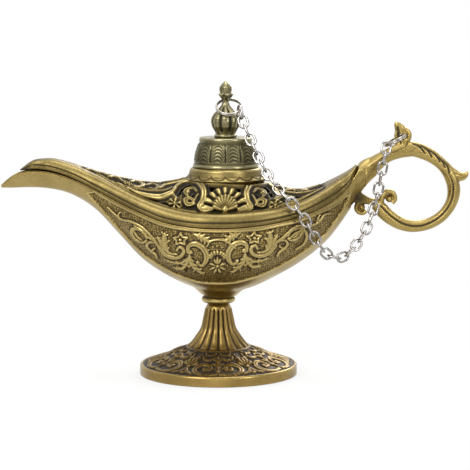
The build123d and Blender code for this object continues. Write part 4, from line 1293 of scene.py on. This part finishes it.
# Millimetres: rows of the root as (x, level, rise, depth, half width), the eye, and the nook under the neck
# that gets painted shade, as (x, z, reach)
ROOT_ROWS = ((61.4, 91.0, 0.3, 12.5, 7.0), (63.0, 93.0, 0.4, 12.8, 6.7), (64.7, 95.5, 0.6, 13.1, 6.1),
             (65.5, 96.0, 3.0, 12.2, 5.9), (67.0, 96.2, 4.2, 10.2, 5.5), (69.0, 96.5, 5.0, 7.9, 5.0),
             (71.2, 96.8, 5.5, 5.8, 4.6), (74.0, 98.4, 5.2, 4.8, 4.3))
EYE_CENTRE = (86.1, 112.2)
EYE_MIDDLE_RADIUS = 2.85
EYE_HALF = 1.3
EYE_BREADTH = 1.8
NOOK = (65.6, 83.0, 4.6)
# Corners of the grooves' map as (x, z) in millimetres
HANDLE_CORNERS = ((60, 58), (119, 120))
# How the skin is made, where its grooves lie, their depths and tones, and the painted shade in the nook
SKIN_VOXEL = 0.26
SMOOTHING_SHARES = (0.62, -0.64)
SMOOTHING_ROUNDS = 6
HANDLE_FRONT = -2.5
GROOVE_DEPTH = 0.5
RIDGE_RISE = 0.25
HANDLE_TONE = 0.60
GROOVE_LOSS = 0.55
RIDGE_GAIN = 0.08
NOOK_SHADE_LOSS = 0.5


def tube(rows):
    """A closed tube through rings of points, with flat ends."""
    rings, count = rows.shape[:2]
    faces = grid_quads(rings, count, wrap=True).tolist()
    faces += [list(range(count))[::-1], list(range((rings - 1) * count, rings * count))]
    return rows.reshape(-1, 3), faces


def root(rows):
    """The handle's root: two half ovals about each row's level."""
    line, _ = spline(rows, 0.4)
    t = np.arange(32) * 2 * pi / 32
    x, level, up, low, wide = (column[:, None] for column in line.T)
    z = level + np.where(np.sin(t) > 0, up, low) * np.sin(t)
    return tube(np.stack((x + 0 * t, wide * np.cos(t), z), -1))


def bar(pairs, breadths):
    """A bar between two edges in the handle's plane, as (x, z) pairs, with half widths across it."""
    edges, share = spline([(*a, *b) for a, b in pairs], 0.5)
    wide = spread(breadths, share)[:, None]
    middle, reach = (edges[:, :2] + edges[:, 2:]) / 2, (edges[:, :2] - edges[:, 2:]) / 2
    t = np.arange(28) * 2 * pi / 28
    across, side = (np.sign(wave) * np.abs(wave) ** 0.85 for wave in (np.cos(t), np.sin(t)))
    x, z = (middle[:, k:k + 1] + reach[:, k:k + 1] * across for k in (0, 1))
    return tube(np.stack((x, wide * side, z), -1))


def rod(points, halves, breadth):
    """A bar of given half thickness along a line of (x, z) points."""
    line, share = spline(points, 0.4)
    side = beside(line) * spread(halves, share)[:, None]
    return bar(list(zip(line + side, line - side))[::2], breadth)


def ball(centre, radius, breadth):
    """A flattened ball in the handle's plane."""
    t, a = np.linspace(-1.5, 1.5, 15)[:, None], np.arange(28) * 2 * pi / 28
    x, z = (centre[k] + radius * np.cos(t) * wave for k, wave in enumerate((np.cos(a), np.sin(a))))
    return tube(np.stack((x, breadth * np.sin(t) + 0 * a, z), -1))


def fused(parts, voxel):
    """Overlapping closed parts as one even, smoothed skin: points, faces and normals."""
    rough = bpy.data.meshes.new("rough")
    rough.from_pydata((np.vstack([points for points, _ in parts]) * MM).tolist(), [], numbered(parts))
    trial = placed("trial", rough)
    even = trial.modifiers.new("even", "REMESH")
    even.mode = "VOXEL"
    even.voxel_size = voxel * MM
    mesh = bpy.data.meshes.new_from_object(trial.evaluated_get(bpy.context.evaluated_depsgraph_get()))
    points = rows_of(mesh.vertices, "co").astype(float) / MM
    faces = [list(polygon.vertices) for polygon in mesh.polygons]
    edges = rows_of(mesh.edges, "vertices", 2, np.int32)
    for share in SMOOTHING_SHARES * SMOOTHING_ROUNDS:
        points = points + share * (softened(points, edges, 1) - points)
    points = softened(points, edges, 1)
    mesh.vertices.foreach_set("co", (points * MM).astype(np.float32).ravel())
    mesh.update()
    normals = rows_of(mesh.vertices, "normal")
    bpy.data.objects.remove(trial)
    bpy.data.meshes.remove(mesh)
    bpy.data.meshes.remove(rough)
    return points, faces, normals


def handle_parts():
    """The handle's overlapping parts: root, neck, ring, tail, thumb rest with its eye, and two curls."""
    def flat(pixels):
        return [on_plane(pixel, 0) for pixel in pixels]

    eye = [(EYE_CENTRE[0] + EYE_MIDDLE_RADIUS * cos(t), EYE_CENTRE[1] + EYE_MIDDLE_RADIUS * sin(t))
           for t in np.linspace(0, 2 * pi, 25)]
    parts = [root(ROOT_ROWS)]
    for edges, breadths in BARS:
        parts.append(bar([flat(pair) for pair in edges], breadths))
    parts.append(rod(eye, EYE_HALF, EYE_BREADTH))
    for pixels, halves, breadth, centre, radius, ball_breadth in CURLS:
        parts += [rod(flat(pixels), halves, breadth), ball(on_plane(centre, 0), radius, ball_breadth)]
    return parts


def handle():
    """The cast handle, grooved on both sides."""
    points, faces, normals = fused(handle_parts(), SKIN_VOXEL)
    grooves, ridge = Relief(*HANDLE_CORNERS, cell=0.15), Relief(*HANDLE_CORNERS, cell=0.15)

    def line(pixels):
        return [on_plane(pixel, HANDLE_FRONT) for pixel in pixels]

    for pixels, widths, share in HANDLE_GROOVES:
        grooves.stroke(line(pixels), widths, share)
    for pixels in LEAF_GROOVES:
        grooves.stroke(line(pixels), LEAF_GROOVE_HALVES, LEAF_GROOVE_SHARE)
    ridge.stroke(line(NECK_RIDGE), (0.7, 1.0, 0.8), 1.0)
    sideways = smooth(0.15, 0.6, np.abs(normals[:, 1]))
    cut = grooves.read(blurred(grooves.height, 1), points[:, 0], points[:, 2]) * sideways
    raised = ridge.read(blurred(ridge.height, 2), points[:, 0], points[:, 2]) * sideways
    points = points + normals * (RIDGE_RISE * raised - GROOVE_DEPTH * cut)[:, None]
    points[:, 0] = np.minimum(points[:, 0], box_mm("handle")[1][0])
    # Painted shade in the nook under the neck, where the small scroll joins
    nook_shade = bell(np.hypot(points[:, 0] - NOOK[0], points[:, 2] - NOOK[1]), 0, NOOK[2])
    tone = HANDLE_TONE - GROOVE_LOSS * cut + RIDGE_GAIN * raised - NOOK_SHADE_LOSS * nook_shade
    solid = (points, faces, tone, np.zeros(len(points)))
    add_mesh("handle_cast", solid, handle_gold, "handle", "lamp_body", wear=0.9)


# Chain, rings and fasteners keep the frame's solids
HARDWARE = (("link_", chain_steel), ("ring", ring_steel), ("screw", fastener_steel),
            ("washer", fastener_steel))


def hardware():
    """Gives the chain, the rings and the fasteners their steel."""
    for name, node in frame["nodes"].items():
        for part, material in HARDWARE:
            if part in name:
                node.data.materials.clear()
                node.data.materials.append(material)
                smooth_faces(node.data)
                break


# Camera, lights, floor and dark cards, with places and sizes in metres and lamps in watts
FLOOR_DROP = 0.0003
FLOOR_SIZE = (6, 6)
FLOOR_FADE = (0.05, 0.30)
FLOOR_GLOW_SHARE = 0.80
FLOOR_GREY = (0.86, 0.86, 0.86, 1)
CARD_BROWN = (0.085, 0.078, 0.068, 1)
OUTER_WHITE = (1, 1, 1, 1)
SOFT_WHITE = (1, 0.99, 0.97, 1)
SOFT_STRENGTH = 0.55
CARDS = (
    ("card_low", (0, -0.85, 0.002), (2.4, 1.1), (0, -0.85, 1)),
    ("card_front", (0, -1.7, 0.28), (2.0, 0.50), (0, 0, 0.1)),
    ("card_left", (-1.25, -0.35, 0.22), (0.9, 0.40), (0, 0, 0.08)),
    ("card_right", (1.25, -0.35, 0.22), (0.9, 0.40), (0, 0, 0.08)),
)
LAMPS_AIM = (0.0, 0.0, 0.07)
LAMPS = (
    ("key", (-0.55, -0.80, 0.85), (0.45, 0.45), 7, (1, 1, 1)),
    ("fill", (0.8, -0.8, 0.55), (0.3, 0.5), 3, (1, 1, 1)),
    ("low", (-0.15, -0.95, 0.05), (0.9, 0.08), 1.6, (1.0, 0.93, 0.82)),
    ("top", (0.1, 0.1, 1.1), (0.7, 0.5), 5, (1, 1, 1)),
    ("rim", (0.3, 0.9, 0.6), (0.6, 0.4), 4, (1, 1, 1)),
)


def shown_as(tree, seen, unseen):
    """Mixes two shaders: one for what the camera, glossy and clear rays see, the other for all else."""
    path = shade(tree, "LightPath")
    first = maths(tree, "MAXIMUM", path.outputs["Is Camera Ray"], path.outputs["Is Glossy Ray"])
    share = maths(tree, "MAXIMUM", first, path.outputs["Is Transmission Ray"])
    return blend(tree, share, unseen, seen)


def world():
    """A white surround, softer as a light than it looks."""
    scene_world = bpy.data.worlds.new("studio")
    bpy.context.scene.world = scene_world
    scene_world.use_nodes = True
    tree = scene_world.node_tree
    white = tree.nodes["Background"]
    white.inputs["Color"].default_value = OUTER_WHITE
    white.inputs["Strength"].default_value = 1.0
    soft = shade(tree, "Background", color=SOFT_WHITE, strength=SOFT_STRENGTH)
    light = shown_as(tree, white.outputs[0], soft.outputs[0])
    feed(tree, tree.nodes["World Output"].inputs["Surface"], light)


def aim(thing, place, target, axis):
    """Puts an object at a place, with one of its axes toward a target."""
    thing.location = place
    thing.rotation_euler = (Vector(target) - Vector(place)).to_track_quat(axis, "Y").to_euler()


def panel(name, centre, size, facing, material):
    """A flat rectangle in metres that faces a point."""
    w, h = size[0] / 2, size[1] / 2
    mesh = bpy.data.meshes.new(name)
    mesh.from_pydata([(-w, -h, 0), (w, -h, 0), (w, h, 0), (-w, h, 0)], [], [(0, 1, 2, 3)])
    mesh.materials.append(material)
    piece = placed(name, mesh)
    aim(piece, centre, facing, "Z")
    return piece


def lamp(name, centre, size, power, colour):
    """A soft rectangular lamp, aimed at the object."""
    data = bpy.data.lights.new(name, "AREA")
    data.shape = "RECTANGLE"
    data.size, data.size_y = size
    data.energy = power
    data.color = colour
    aim(placed(name, data), centre, LAMPS_AIM, "-Z")


def camera():
    """A camera at the photograph's viewing angle."""
    viewer = placed("camera", bpy.data.cameras.new("camera"))
    aim(viewer, EYE * MM, TARGET * MM, "-Z")
    viewer.data.lens = FOCAL_PX * SENSOR / IMAGE
    viewer.data.sensor_width = SENSOR
    viewer.data.clip_start = 0.05
    viewer.data.clip_end = 20
    bpy.context.scene.camera = viewer


def floor():
    """A pale floor that fades to the white surround."""
    material, tree, matt, place = new_material("floor_white")
    matt.inputs["Base Color"].default_value = FLOOR_GREY
    matt.inputs["Roughness"].default_value = 0.9
    glow = shade(tree, "Emission", color=OUTER_WHITE)
    away = shade(tree, "VectorMath", "LENGTH", vector=place).outputs["Value"]
    share = ranged(tree, away, *FLOOR_FADE, FLOOR_GLOW_SHARE, 1.0)
    seen = blend(tree, share, matt.outputs[0], glow.outputs[0])
    feed(tree, tree.nodes["Material Output"].inputs["Surface"], shown_as(tree, seen, matt.outputs[0]))
    panel("floor", (0, 0, -FLOOR_DROP), FLOOR_SIZE, (0, 0, 1), material)


def cards():
    """Dark cards that the metal mirrors and the camera doesn't see."""
    material = bpy.data.materials.new("card_dark")
    material.use_nodes = True
    shader = material.node_tree.nodes["Principled BSDF"]
    shader.inputs["Base Color"].default_value = CARD_BROWN
    shader.inputs["Roughness"].default_value = 1.0
    for name, centre, size, facing in CARDS:
        panel(name, centre, size, facing, material).visible_camera = False


def stage():
    """Everything about the lamp: camera, surround, floor, cards and lights."""
    bpy.context.scene.view_settings.view_transform = "Standard"
    camera()
    world()
    floor()
    cards()
    for row in LAMPS:
        lamp(*row)


stage()
hull()
cover()
collar()
cap()
finial()
pedestal()
handle()
hardware()
